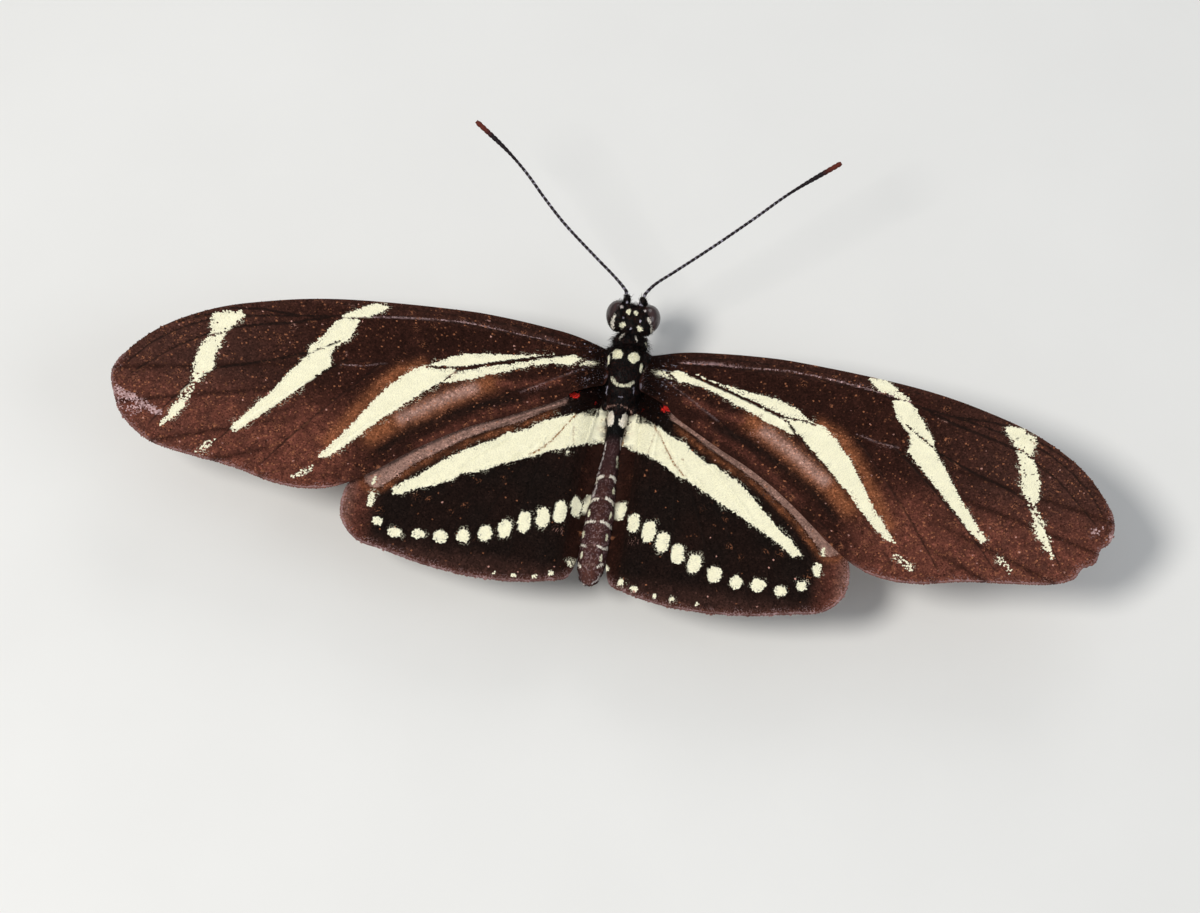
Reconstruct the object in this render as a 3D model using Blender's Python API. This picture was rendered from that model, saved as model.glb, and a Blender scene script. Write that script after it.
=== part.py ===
"""A zebra longwing butterfly, life size, with its wings spread flat, standing on four walking legs.

Sizes and places are in millimetres, and MM turns them into metres when a mesh is made.
+Y runs from the tail to the head, +X to the right wing of an insect seen from above, and +Z is up.
"""

import math

import bmesh
import bpy
from mathutils import Matrix, Vector
from mathutils.geometry import delaunay_2d_cdt

MM = 0.001
GAP = 0.3
SIDES = {"left": -1, "right": 1}

# Wings
FORE_PLANE = 8.5
HIND_PLANE = 7.3
DIHEDRAL = 0.028
CAMBER = 0.35
CAMBER_MIDDLE = 2.0
CAMBER_REACH = 10.0
WING_THICKNESS = 0.5
RIM_SPACING = 1.8
VEIN_SPACING = 2.6
FILL_SPACING = 3.4
FILL_ROW_RATIO = 0.87
FILL_REACH = 30
FILL_COLUMNS = 14
FILL_CLEARANCE = 1.3
MERGE_DISTANCE = 1e-4
WING_CREASE_ANGLE = 30.0
VEIN_HALF_WIDTH = 0.42
VEIN_RISE_TOP = 0.2
VEIN_RISE_UNDER = 0.1
VEIN_TIP_SHARE = 0.6
SLOPE_STEP = 0.01
FORE_COSTA = (
    (2.6, 9.9), (5.0, 10.5), (8.0, 10.85), (11.0, 11.05), (14.0, 11.1), (20.0, 10.75),
    (26.0, 10.1), (31.0, 9.0), (36.0, 7.25), (40.0, 4.75), (42.7, 1.6), (43.3, 0.0),
)
FORE_MARGIN = {
    "left": ((42.9, -1.6), (41.6, -3.9), (38.8, -5.75)),
    "right": ((43.1, -1.5), (42.4, -2.2), (42.1, -3.5), (41.0, -4.2), (40.6, -5.1), (38.8, -5.9)),
}
FORE_HEM = (
    (35.0, -6.4), (31.5, -6.8), (27.5, -7.6), (25.0, -7.6), (22.3, -6.9), (18.0, -4.2),
    (13.0, -0.3), (9.0, 2.1), (5.0, 4.4), (3.4, 5.8), (2.6, 7.0),
)
FORE_VEINS = {
    "subcosta": ((3.3, 9.75), (7.0, 10.2), (12.0, 10.45), (17.0, 10.4), (21.0, 10.15), (25.5, 9.7)),
    "radius": (
        (3.0, 9.1), (6.0, 9.35), (10.0, 9.6), (14.0, 9.75), (18.0, 9.6), (21.5, 9.15), (24.5, 8.65),
        (28.5, 7.95), (32.6, 7.15), (35.5, 6.4), (38.0, 5.1), (40.5, 3.1), (42.0, 1.2),
    ),
    "median_1": ((25.5, 8.5), (28.5, 7.3), (30.8, 6.7), (33.3, 6.0), (35.3, 5.1), (38.5, 3.0), (41.6, 0.0)),
    "median_2": ((24.3, 6.4), (27.2, 4.6), (31.0, 3.0), (34.8, 1.6), (36.5, 0.0), (38.3, -2.6), (39.2, -4.3)),
    "median_3": ((23.6, 4.6), (25.0, 3.4), (28.0, 0.7), (31.5, -2.7), (33.8, -5.4)),
    "cubitus": ((3.0, 8.5), (5.0, 8.45), (8.0, 7.6), (11.0, 6.65), (14.0, 5.65), (17.0, 5.35),
                (20.4, 4.8), (23.6, 4.6)),
    "cubitus_1": ((20.4, 4.8), (21.4, 3.85), (24.2, 0.4), (26.8, -2.9), (29.0, -6.0)),
    "cubitus_2": ((14.0, 5.65), (15.5, 4.15), (18.0, 1.8), (20.2, -0.35), (22.5, -2.9), (25.3, -6.5)),
    "anal": ((3.1, 7.6), (6.0, 6.0), (8.5, 4.5), (11.0, 2.85), (14.5, 0.0), (18.0, -2.95), (21.6, -5.6)),
    "cell_end": ((25.5, 8.5), (24.7, 7.6), (24.3, 6.4), (24.0, 5.5), (23.6, 4.6)),
}
HIND_RIM = (
    (2.0, 5.9), (5.0, 6.6), (9.0, 5.7), (13.0, 3.2), (17.0, -0.3), (20.0, -3.6), (21.5, -6.2),
    (21.85, -8.2), (21.4, -9.8), (19.9, -11.1), (17.4, -11.6), (14.0, -12.25), (10.0, -12.6),
    (6.3, -12.45), (3.6, -11.9), (1.9, -11.2), (1.65, -9.6), (1.65, -8.0), (1.55, -6.0),
    (1.45, -4.0), (1.27, -2.0), (1.1, 0.0), (1.15, 1.6), (1.45, 3.4), (1.55, 4.6),
)
HIND_VEINS = {
    "subcosta": ((2.6, 5.6), (5.0, 5.5), (9.0, 4.2), (13.0, 1.6), (17.0, -2.1), (20.3, -6.0)),
    "radius": ((2.6, 5.0), (6.0, 3.4), (10.0, 1.0), (14.0, -2.2), (17.5, -5.6), (20.0, -9.6)),
    "median_1": ((8.4, 0.6), (11.5, -2.2), (14.5, -6.0), (17.0, -10.9)),
    "median_2": ((7.6, -0.7), (10.0, -3.6), (12.2, -7.4), (14.0, -11.6)),
    "median_3": ((6.9, -1.2), (8.4, -4.4), (9.8, -8.2), (10.7, -11.9)),
    "cubitus": ((2.5, 4.5), (3.6, 3.6), (5.0, 1.8), (6.2, 0.1), (6.9, -1.2)),
    "cubitus_1": ((5.7, 0.9), (6.1, -3.2), (6.7, -7.6), (7.2, -11.8)),
    "cubitus_2": ((3.6, 3.6), (3.7, 0.2), (3.9, -5.0), (4.2, -11.4)),
    "anal": ((1.9, 4.2), (2.2, 1.0), (2.5, -4.0), (2.7, -10.9)),
    "cell_end": ((10.0, 1.0), (8.4, 0.6), (7.6, -0.7), (6.9, -1.2)),
}
GUTTER_INNER = 1.45
GUTTER_OUTER = 3.6
GUTTER_DEPTHS = ((4.6, 0.8), (0.0, 1.2), (-7.0, 2.0), (-13.0, 2.0))
GUTTER_LINES = (1.95, 2.55, 3.2)
GUTTER_SPACING = 1.9
GUTTER_FRONT = 4.0
GUTTER_LENGTH = 15

# Thorax, collar and abdomen, as sections: place along Y, half width, middle height, rise, drop
THORAX = (
    (4.75, 0.95, 6.95, 0.9, 0.95), (5.2, 1.3, 6.95, 1.25, 1.3), (5.8, 1.6, 6.9, 1.55, 1.75),
    (6.2, 1.75, 6.9, 2.05, 1.95), (6.7, 1.85, 6.9, 2.1, 2.1), (7.5, 2.05, 6.9, 2.45, 2.3),
    (8.6, 2.15, 6.9, 2.6, 2.4), (9.5, 2.05, 6.95, 2.4, 2.3), (10.1, 1.75, 7.0, 2.0, 2.0),
    (10.5, 1.35, 7.1, 1.55, 1.6),
)
COLLAR = (
    (10.8, 1.4, 7.2, 1.5, 1.5), (11.15, 1.55, 7.25, 1.5, 1.5), (11.5, 1.35, 7.35, 1.25, 1.3),
    (11.7, 0.95, 7.4, 0.95, 0.95),
)
COLLAR_X = -0.1
BODY_SIDES = 26
ABDOMEN_ENDS = (4.45, -11.1)
ABDOMEN_SEGMENTS = 9
ABDOMEN_RADII = (
    (4.45, 0.82), (3.9, 0.95), (2.85, 0.76), (0.7, 0.72), (-1.5, 0.9), (-3.5, 1.1), (-5.5, 1.28),
    (-7.5, 1.35), (-9.4, 1.25), (-10.6, 0.9), (-11.1, 0.45),
)
ABDOMEN_HEIGHTS = ((4.45, 6.95), (0.0, 6.85), (-4.0, 6.6), (-8.0, 6.3), (-11.1, 6.05))
SEGMENT_SWELL = 0.05
ABDOMEN_SIDES = 22

# Wing roots and hips on the thorax: centre and radii
FORE_ROOT = ((1.72, 8.5, 8.35), (0.55, 1.45, 0.55))
HIND_ROOT = ((1.3, 5.35, 7.1), (0.42, 0.85, 0.42))
TEGULA = ((1.55, 9.5, 8.75), (0.6, 0.85, 0.42))
SCUTELLUM = ((0.0, 6.0, 8.2), (1.0, 0.7, 0.5))
HIP_RADIUS = 0.5

# Head
HEAD_CENTRE = Vector((-0.3, 13.25, 7.6))
HEAD_RADII = (1.55, 1.35, 1.35)
HEAD_BACK = 12.0
CUT_TOLERANCE = 1e-7
EYE_OFFSET = Vector((1.35, 0.2, 0.05))
EYE_RADII = (0.92, 1.15, 1.2)
SCAPE_FOOT = Vector((0.55, 0.75, 0.75))
SCAPE_TIP = Vector((0.76, 1.72, 1.22))
SCAPE_RADIUS = 0.27
SCAPE_SPACING = 1.0
FACE = ((0.0, 0.75, -0.35), (0.62, 0.75, 0.75))

# Feelers and mouth parts
ANTENNAE = {
    "left": ((-1.19, 15.28, 8.95), (-2.24, 16.15, 9.35), (-4.24, 17.5, 10.05), (-7.25, 19.6, 11.15),
             (-9.26, 21.3, 11.95), (-11.27, 23.15, 12.8), (-13.27, 24.65, 13.6), (-15.96, 26.25, 14.6)),
    "right": ((0.56, 15.28, 8.95), (1.25, 16.15, 9.25), (2.75, 17.35, 9.8), (5.72, 19.9, 10.65),
              (8.68, 22.55, 11.55), (11.64, 25.3, 12.45), (15.11, 28.0, 13.35)),
}
ANTENNA_RADIUS = 0.25
CLUB_RADIUS = 0.32
CLUB_START = 0.8
FEELER_STEPS = 10
FEELER_SPACING = 0.9
PALP_PATH = ((0.85, 1.3, -1.0), (0.85, 1.75, -0.55), (0.72, 1.95, 0.1), (0.58, 1.9, 0.55))
PALP_RADII = (0.28, 0.34, 0.3, 0.2)
PALP_SPACING = 0.35
COIL_ROOT = Vector((0.0, 0.42, -1.62))
COIL_CENTRE = Vector((0.0, 1.5, -2.9))
COIL_RADII = (1.25, 0.33)
COIL_TURNS = 1.15
COIL_TUBE = 0.25
COIL_SPACING = 1.0
COIL_POINTS = 26

# Legs: hip, knee and ankle, and the foot's path on the floor
LEGS = {
    "midleg": {
        "hip": (1.2, 9.1, 4.75), "knee": (4.9, 10.7, 5.9), "ankle": (6.7, 11.3, 0.95),
        "foot": ((6.6, 11.2), (7.5, 12.2), (9.3, 14.0)),
    },
    "hindleg": {
        "hip": (1.2, 6.6, 4.95), "knee": (4.3, 2.7, 5.6), "ankle": (6.0, -1.9, 0.95),
        "foot": ((5.95, -1.7), (6.5, -3.4), (7.7, -6.3)),
    },
}
FEMUR_RADII = (0.3, 0.38, 0.36, 0.3)
TIBIA_RADII = (0.28, 0.28, 0.26, 0.26)
KNEE_RADIUS = 0.33
FOOT_RADIUS = 0.27
FOOT_SINK = 0.05
FOOT_JOINTS = 5
FOOT_PINCH = 0.8
CLAW_RADIUS = 0.12
FLOOR_BLOCK = 60.0
FORELEG_PATH = ((0.75, 11.15, 5.35), (0.95, 12.1, 5.0), (1.0, 12.9, 4.65), (0.85, 12.2, 4.1), (0.8, 11.0, 3.9))
FORELEG_RADII = (0.3, 0.27, 0.26, 0.25, 0.16)
FORELEG_SPACING = 0.6
LIMB_SPACING = 1.4
TUBE_RESOLUTION = 2

COLOURS = {
    "wing": ((0.035, 0.018, 0.014), 0.6),
    "body": ((0.012, 0.01, 0.01), 0.7),
    "eye": ((0.03, 0.012, 0.012), 0.15),
    "feeler": ((0.03, 0.018, 0.022), 0.5),
    "leg": ((0.03, 0.024, 0.02), 0.55),
}


def clear_scene():
    for obj in list(bpy.data.objects):
        bpy.data.objects.remove(obj, do_unlink=True)


def material_for(name, kind):
    """A material of the object's own, in the colour and roughness of its kind."""
    colour, roughness = COLOURS[kind]
    material = bpy.data.materials.new(name)
    material.use_nodes = True
    shader = material.node_tree.nodes["Principled BSDF"]
    shader.inputs["Base Color"].default_value = (*colour, 1.0)
    shader.inputs["Roughness"].default_value = roughness
    shader.inputs["Metallic"].default_value = 0.0
    return material


def add_object(name, points, faces, kind="body"):
    """A mesh object from points in millimetres."""
    mesh = bpy.data.meshes.new(name)
    mesh.from_pydata([Vector(point) * MM for point in points], [], faces)
    mesh.update()
    mesh.materials.append(material_for(name, kind))
    obj = bpy.data.objects.new(name, mesh)
    bpy.context.collection.objects.link(obj)
    return obj


def smooth_shading(obj, degrees=40.0):
    obj.data.shade_smooth()
    obj.data.set_sharp_from_angle(angle=math.radians(degrees))


def mix(table, place):
    """The value at a place in a table of (place, value) rows, read with a smooth step between rows."""
    rows = sorted(table)
    if place <= rows[0][0]:
        return rows[0][1]
    for (low, first), (high, second) in zip(rows, rows[1:]):
        if place <= high:
            part = (place - low) / (high - low)
            return first + (second - first) * part * part * (3 - 2 * part)
    return rows[-1][1]


def smooth_path(points, spacing, closed=False):
    """Points about `spacing` apart on a curve through every given point."""
    points = [Vector(point) for point in points]
    count = len(points)
    path = []
    for i in range(count if closed else count - 1):
        before = points[i - 1] if closed or i else points[0]
        start = points[i]
        end = points[(i + 1) % count]
        after = points[(i + 2) % count] if closed or i + 2 < count else end
        length = (end - start).length
        leave = (end - before) * (length / ((end - start).length + (start - before).length))
        reach = (after - start) * (length / ((after - end).length + (end - start).length))
        steps = max(1, round(length / spacing))
        for step in range(steps):
            t = step / steps
            path.append(
                start * (2 * t**3 - 3 * t**2 + 1) + leave * (t**3 - 2 * t**2 + t)
                + end * (3 * t**2 - 2 * t**3) + reach * (t**3 - t**2)
            )
    if not closed:
        path.append(points[-1])
    return path


def distance_to_path(point, path):
    """(distance, share of the way along) of the nearest place on a path of straight pieces."""
    best = (math.inf, 0.0)
    pieces = len(path) - 1
    for i, (start, end) in enumerate(zip(path, path[1:])):
        along = end - start
        share = max(0.0, min(1.0, (point - start).dot(along) / along.length_squared))
        distance = (point - start - along * share).length
        if distance < best[0]:
            best = (distance, (i + share) / pieces)
    return best


def inside(point, rim):
    """Whether a point lies inside a closed outline."""
    crossings = 0
    for start, end in zip(rim, rim[1:] + rim[:1]):
        if (start.y > point.y) != (end.y > point.y):
            at = start.x + (point.y - start.y) * (end.x - start.x) / (end.y - start.y)
            crossings += point.x < at
    return crossings % 2 == 1


# Wings
def vein_relief(point, veins):
    """1 on the middle line of a vein at its root, and 0 from its edges outward."""
    relief = 0.0
    for path in veins:
        distance, along = distance_to_path(point, path)
        strength = 1.0 - (1.0 - VEIN_TIP_SHARE) * along
        relief = max(relief, strength * (1.0 - distance / VEIN_HALF_WIDTH))
    return relief


def fore_height(x, y):
    bow = CAMBER * (1.0 - ((y - CAMBER_MIDDLE) / CAMBER_REACH) ** 2)
    return FORE_PLANE + DIHEDRAL * x + bow


def hind_height(x, y):
    """As the forewing, one storey lower, and dipping beside the abdomen."""
    share = max(0.0, min(1.0, (GUTTER_OUTER - x) / (GUTTER_OUTER - GUTTER_INNER)))
    dip = mix(GUTTER_DEPTHS, y) * share * share * (3.0 - 2.0 * share)
    return fore_height(x, y) - FORE_PLANE + HIND_PLANE - dip


def surface_normal(height, x, y):
    slope_x = (height(x + SLOPE_STEP, y) - height(x - SLOPE_STEP, y)) / (2 * SLOPE_STEP)
    slope_y = (height(x, y + SLOPE_STEP) - height(x, y - SLOPE_STEP)) / (2 * SLOPE_STEP)
    return Vector((-slope_x, -slope_y, 1.0)).normalized()


def vein_edges(path, others, rim):
    """Runs of points along both edges of a vein, left out where they meet another vein or the rim."""
    closed_rim = rim + rim[:1]
    runs = []
    for side in (-1, 1):
        run = []
        for i, point in enumerate(path):
            along = (path[min(i + 1, len(path) - 1)] - path[max(i - 1, 0)]).normalized()
            edge = point + Vector((-along.y, along.x)) * side * VEIN_HALF_WIDTH
            clear = inside(edge, rim) and distance_to_path(edge, closed_rim)[0] > VEIN_HALF_WIDTH
            if clear and all(distance_to_path(edge, o)[0] > VEIN_HALF_WIDTH for o in others):
                run.append(edge)
            else:
                runs.append(run)
                run = []
        runs.append(run)
    return [run for run in runs if run]


def wing_plan(rim, veins, extra_lines):
    """Points and triangles of the wing seen from above."""
    points = []
    edges = []

    def add_line(line, closed=False):
        first = len(points)
        points.extend(line)
        edges.extend((first + i, first + i + 1) for i in range(len(line) - 1))
        if closed:
            edges.append((first + len(line) - 1, first))

    add_line(rim, closed=True)
    closed_rim = rim + rim[:1]
    for path in veins:
        add_line(path)
    for path in veins:
        for run in vein_edges(path, [other for other in veins if other is not path], rim):
            add_line(run)
    fill = [p for line in extra_lines for p in line]
    rows = int(FILL_REACH / FILL_SPACING)
    fill += [
        Vector((FILL_SPACING * (i + 0.5 * (j % 2)), FILL_SPACING * FILL_ROW_RATIO * j))
        for i in range(FILL_COLUMNS) for j in range(-rows, rows)
    ]
    for point in fill:
        if not inside(point, rim) or distance_to_path(point, closed_rim)[0] < FILL_CLEARANCE / 2:
            continue
        if min(distance_to_path(point, path)[0] for path in veins) < FILL_CLEARANCE / 2:
            continue
        if min((point - other).length for other in points) > FILL_CLEARANCE:
            points.append(point)
    flat, _, found, _, _, _ = delaunay_2d_cdt(points, edges, [], 1, MERGE_DISTANCE, True)
    triangles = [t for t in found if inside(sum((flat[i] for i in t), Vector((0.0, 0.0))) / len(t), rim)]
    used = sorted({i for triangle in triangles for i in triangle})
    place = {old: new for new, old in enumerate(used)}
    return [flat[i] for i in used], [[place[i] for i in triangle] for triangle in triangles]


def add_wing(name, side, rim_points, vein_points, height, extra_lines=()):
    """A membrane with its veins raised in both faces, one triangle above another."""
    rim = smooth_path(rim_points, RIM_SPACING, closed=True)
    veins = [smooth_path(line, VEIN_SPACING) for line in vein_points.values()]
    plan, triangles = wing_plan(rim, veins, extra_lines)
    count = len(plan)
    upper = []
    lower = []
    for point in plan:
        relief = vein_relief(point, veins)
        normal = surface_normal(height, point.x, point.y)
        middle = Vector((point.x, point.y, height(point.x, point.y)))
        upper.append(middle + normal * (WING_THICKNESS / 2 + relief * VEIN_RISE_TOP))
        lower.append(middle - normal * (WING_THICKNESS / 2 + relief * VEIN_RISE_UNDER))
    faces = [tuple(t) for t in triangles]
    faces += [tuple(count + i for i in reversed(t)) for t in triangles]
    sides = [(t[i], t[(i + 1) % 3]) for t in triangles for i in range(3)]
    open_sides = set(sides) - {(b, a) for a, b in sides}
    for a, b in sorted(open_sides):
        faces += [(a, a + count, b + count), (a, b + count, b)]
    points = [Vector((side * p.x, p.y, p.z)) for p in upper + lower]
    if side < 0:
        faces = [tuple(reversed(face)) for face in faces]
    wing = add_object(name, points, faces, "wing")
    smooth_shading(wing, WING_CREASE_ANGLE)
    return wing


def gutter_lines():
    """Rows of points that let the hindwing's inner edge curve down beside the abdomen."""
    rows = int(GUTTER_LENGTH / GUTTER_SPACING)
    return [
        [Vector((x, GUTTER_FRONT - GUTTER_SPACING * (i + 0.5 * (n % 2)))) for i in range(rows + 1)]
        for n, x in enumerate(GUTTER_LINES)
    ]


def add_wings():
    wings = []
    for label, side in SIDES.items():
        fore_rim = FORE_COSTA + FORE_MARGIN[label] + FORE_HEM
        wings.append(add_wing(f"forewing_{label}", side, fore_rim, FORE_VEINS, fore_height))
        hind = add_wing(f"hindwing_{label}", side, HIND_RIM, HIND_VEINS, hind_height, gutter_lines())
        wings.append(hind)
    return wings


# Body
def ring(y, half_width, middle, rise, drop, sides, x=0.0):
    """An egg-shaped section across the body, as points in order."""
    points = []
    for i in range(sides):
        angle = 2 * math.pi * i / sides
        up = math.sin(angle)
        points.append(Vector((x + half_width * math.cos(angle), y, middle + up * (rise if up > 0 else drop))))
    return points


def add_loft(name, rings, kind="body"):
    """A skin over rings of equal count, listed from the tail forward, closed at both ends."""
    sides = len(rings[0])
    points = [point for section in rings for point in section]
    faces = [tuple(range(sides)), tuple(reversed(range(len(points) - sides, len(points))))]
    for row in range(len(rings) - 1):
        first = row * sides
        for i in range(sides):
            j = (i + 1) % sides
            faces.append((first + i, first + sides + i, first + sides + j, first + j))
    obj = add_object(name, points, faces, kind)
    smooth_shading(obj)
    return obj


def add_ellipsoid(name, centre, radii, kind="body", segments=16, rings=10):
    bm = bmesh.new()
    place = Matrix.Translation(Vector(centre) * MM) @ Matrix.Diagonal((*(Vector(radii) * MM), 1.0))
    bmesh.ops.create_uvsphere(bm, u_segments=segments, v_segments=rings, radius=1.0, matrix=place)
    mesh = bpy.data.meshes.new(name)
    bm.to_mesh(mesh)
    bm.free()
    mesh.materials.append(material_for(name, kind))
    obj = bpy.data.objects.new(name, mesh)
    bpy.context.collection.objects.link(obj)
    smooth_shading(obj)
    return obj


def combine(obj, others, operation="UNION"):
    """Joins the other objects to this one, or cuts them from it, and removes them."""
    group = bpy.data.collections.new(f"{obj.name}_pieces")
    bpy.context.scene.collection.children.link(group)
    for other in others:
        bpy.context.collection.objects.unlink(other)
        group.objects.link(other)
    modifier = obj.modifiers.new("combine", "BOOLEAN")
    modifier.operation = operation
    modifier.operand_type = "COLLECTION"
    modifier.collection = group
    bpy.context.view_layer.objects.active = obj
    bpy.ops.object.modifier_apply(modifier=modifier.name)
    for other in others:
        bpy.data.objects.remove(other, do_unlink=True)
    bpy.data.collections.remove(group)
    keep_largest(obj)
    keep_own_material(obj)
    smooth_shading(obj)


def keep_largest(obj):
    """Keeps the closed surface with the most faces and drops the rest."""
    bm = bmesh.new()
    bm.from_mesh(obj.data)
    unseen = set(bm.verts)
    islands = []
    while unseen:
        stack = [unseen.pop()]
        island = set(stack)
        while stack:
            for edge in stack.pop().link_edges:
                for vert in edge.verts:
                    if vert in unseen:
                        unseen.discard(vert)
                        island.add(vert)
                        stack.append(vert)
        islands.append(island)
    islands.sort(key=len)
    for island in islands[:-1]:
        bmesh.ops.delete(bm, geom=list(island), context="VERTS")
    bm.to_mesh(obj.data)
    bm.free()


def keep_own_material(obj):
    own = bpy.data.materials[obj.name]
    obj.data.materials.clear()
    obj.data.materials.append(own)
    for polygon in obj.data.polygons:
        polygon.material_index = 0


def add_tube(name, path, radii, kind, spacing):
    """A round tube through a path, its radius read from evenly spaced values."""
    points = smooth_path(path, spacing)
    curve = bpy.data.curves.new(name, "CURVE")
    curve.dimensions = "3D"
    curve.bevel_depth = MM
    curve.bevel_resolution = TUBE_RESOLUTION
    curve.use_fill_caps = True
    spline = curve.splines.new("POLY")
    spline.points.add(len(points) - 1)
    table = [(i / (len(radii) - 1), radius) for i, radius in enumerate(radii)]
    for i, point in enumerate(points):
        spline.points[i].co = (*(point * MM), 1.0)
        spline.points[i].radius = mix(table, i / (len(points) - 1))
    spline.use_smooth = True
    curve.materials.append(material_for(name, kind))
    obj = bpy.data.objects.new(name, curve)
    bpy.context.collection.objects.link(obj)
    bpy.ops.object.select_all(action="DESELECT")
    obj.select_set(True)
    bpy.context.view_layer.objects.active = obj
    bpy.ops.object.convert(target="MESH")
    smooth_shading(obj)
    return obj


def mirrored(point, side):
    return Vector((side * point[0], point[1], point[2]))


def add_thorax():
    thorax = add_loft("thorax", [ring(*section, BODY_SIDES) for section in THORAX])
    pieces = [add_ellipsoid("scutellum", *SCUTELLUM)]
    for label, side in SIDES.items():
        for part, (centre, radii) in (("fore_root", FORE_ROOT), ("hind_root", HIND_ROOT), ("tegula", TEGULA)):
            pieces.append(add_ellipsoid(f"{part}_{label}", mirrored(centre, side), radii, segments=12, rings=8))
        for part, leg in LEGS.items():
            hip = mirrored(leg["hip"], side)
            pieces.append(add_ellipsoid(f"{part}_hip_{label}", hip, [HIP_RADIUS] * 3, segments=12, rings=8))
    combine(thorax, pieces)
    return thorax


def add_collar():
    return add_loft("prothorax", [ring(*section, BODY_SIDES, COLLAR_X) for section in COLLAR])


def add_abdomen():
    """Nine segments, each a little wider behind its middle than at its seams."""
    front, back = ABDOMEN_ENDS
    rows = ABDOMEN_SEGMENTS * 3
    rings = []
    for row in range(rows + 1):
        y = back + (front - back) * row / rows
        swell = 1.0 + SEGMENT_SWELL * (0.0 if row % 3 == 0 else 1.0)
        radius = mix(ABDOMEN_RADII, y) * swell
        rings.append(ring(y, radius, mix(ABDOMEN_HEIGHTS, y), radius, radius, ABDOMEN_SIDES))
    return add_loft("abdomen", rings)


def add_head():
    """A round head, flat behind, with a face boss, a socket for each eye and the feelers' stubs."""
    head = add_ellipsoid("head", HEAD_CENTRE, HEAD_RADII, segments=24, rings=16)
    bm = bmesh.new()
    bm.from_mesh(head.data)
    everything = bm.verts[:] + bm.edges[:] + bm.faces[:]
    behind = Vector((0.0, HEAD_BACK * MM, 0.0))
    bmesh.ops.bisect_plane(bm, geom=everything, dist=CUT_TOLERANCE, plane_co=behind, plane_no=(0, -1, 0), clear_outer=True)
    bmesh.ops.holes_fill(bm, edges=bm.edges)
    bm.to_mesh(head.data)
    bm.free()
    pieces = [add_ellipsoid("face", HEAD_CENTRE + Vector(FACE[0]), FACE[1])]
    sockets = []
    for label, side in SIDES.items():
        foot = HEAD_CENTRE + mirrored(SCAPE_FOOT, side)
        tip = HEAD_CENTRE + mirrored(SCAPE_TIP, side)
        scape = add_tube(f"scape_{label}", (foot, tip), (SCAPE_RADIUS, SCAPE_RADIUS), "body", SCAPE_SPACING)
        pieces.append(scape)
        radii = [radius + GAP for radius in EYE_RADII]
        sockets.append(add_ellipsoid(f"socket_{label}", eye_centre(side), radii, segments=20, rings=12))
    combine(head, pieces)
    combine(head, sockets, "DIFFERENCE")
    return head


def eye_centre(side):
    return HEAD_CENTRE + mirrored(EYE_OFFSET, side)


def add_eyes():
    return [
        add_ellipsoid(f"eye_{label}", eye_centre(side), EYE_RADII, "eye", segments=20, rings=12)
        for label, side in SIDES.items()
    ]


# Feelers and mouth parts
def add_feelers():
    feelers = []
    club_from = CLUB_START * FEELER_STEPS
    club_steps = FEELER_STEPS - club_from - 1
    radii = [
        ANTENNA_RADIUS + (CLUB_RADIUS - ANTENNA_RADIUS) * max(0.0, (i - club_from) / club_steps)
        for i in range(FEELER_STEPS)
    ] + [ANTENNA_RADIUS / 2]
    for label in SIDES:
        feelers.append(add_tube(f"antenna_{label}", ANTENNAE[label], radii, "feeler", FEELER_SPACING))
    for label, side in SIDES.items():
        path = [HEAD_CENTRE + mirrored(point, side) for point in PALP_PATH]
        feelers.append(add_tube(f"palp_{label}", path, PALP_RADII, "body", PALP_SPACING))
    return feelers


def add_coil():
    """The tongue, wound like a watch spring below the face."""
    centre = HEAD_CENTRE + COIL_CENTRE
    path = [HEAD_CENTRE + COIL_ROOT]
    for i in range(COIL_POINTS):
        share = i / (COIL_POINTS - 1)
        radius = COIL_RADII[0] + (COIL_RADII[1] - COIL_RADII[0]) * share
        angle = math.pi + 2 * math.pi * COIL_TURNS * share
        path.append(centre + Vector((0.0, math.cos(angle) * radius, math.sin(angle) * radius)))
    return add_tube("proboscis", path, (COIL_TUBE, COIL_TUBE), "leg", COIL_SPACING)


# Legs
def add_leg(part, label, side):
    """A thigh, a shin and a jointed foot whose joints stand on small flats."""
    leg = LEGS[part]
    hip, knee, ankle = (mirrored(leg[place], side) for place in ("hip", "knee", "ankle"))
    thigh = (knee - hip).normalized()
    shin = (ankle - knee).normalized()
    femur_path = (hip + thigh * (HIP_RADIUS + GAP), knee)
    tibia_path = (knee + shin * (KNEE_RADIUS + GAP), ankle)
    femur = add_tube(f"{part}_{label}_femur", femur_path, FEMUR_RADII, "leg", LIMB_SPACING)
    tibia = add_tube(f"{part}_{label}_tibia", tibia_path, TIBIA_RADII, "leg", LIMB_SPACING)
    height = FOOT_RADIUS - FOOT_SINK
    foot_path = [Vector((side * x, y, height)) for x, y in leg["foot"]]
    beads = []
    for _ in range(FOOT_JOINTS):
        beads += [FOOT_RADIUS * FOOT_PINCH, FOOT_RADIUS]
    beads.append(CLAW_RADIUS)
    length = sum((b - a).length for a, b in zip(foot_path, foot_path[1:]))
    tarsus = add_tube(f"{part}_{label}_tarsus", foot_path, beads, "leg", length / (2 * FOOT_JOINTS))
    cut_flat(tarsus)
    return [femur, tibia, tarsus]


def cut_flat(obj):
    """Cuts away all that reaches below the floor."""
    bpy.ops.mesh.primitive_cube_add(size=FLOOR_BLOCK * MM, location=(0.0, 0.0, -FLOOR_BLOCK * MM / 2))
    combine(obj, [bpy.context.object], "DIFFERENCE")


def add_legs():
    limbs = []
    for label, side in SIDES.items():
        for part in LEGS:
            limbs += add_leg(part, label, side)
        path = [mirrored(point, side) for point in FORELEG_PATH]
        limbs.append(add_tube(f"foreleg_{label}", path, FORELEG_RADII, "leg", FORELEG_SPACING))
    return limbs


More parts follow.
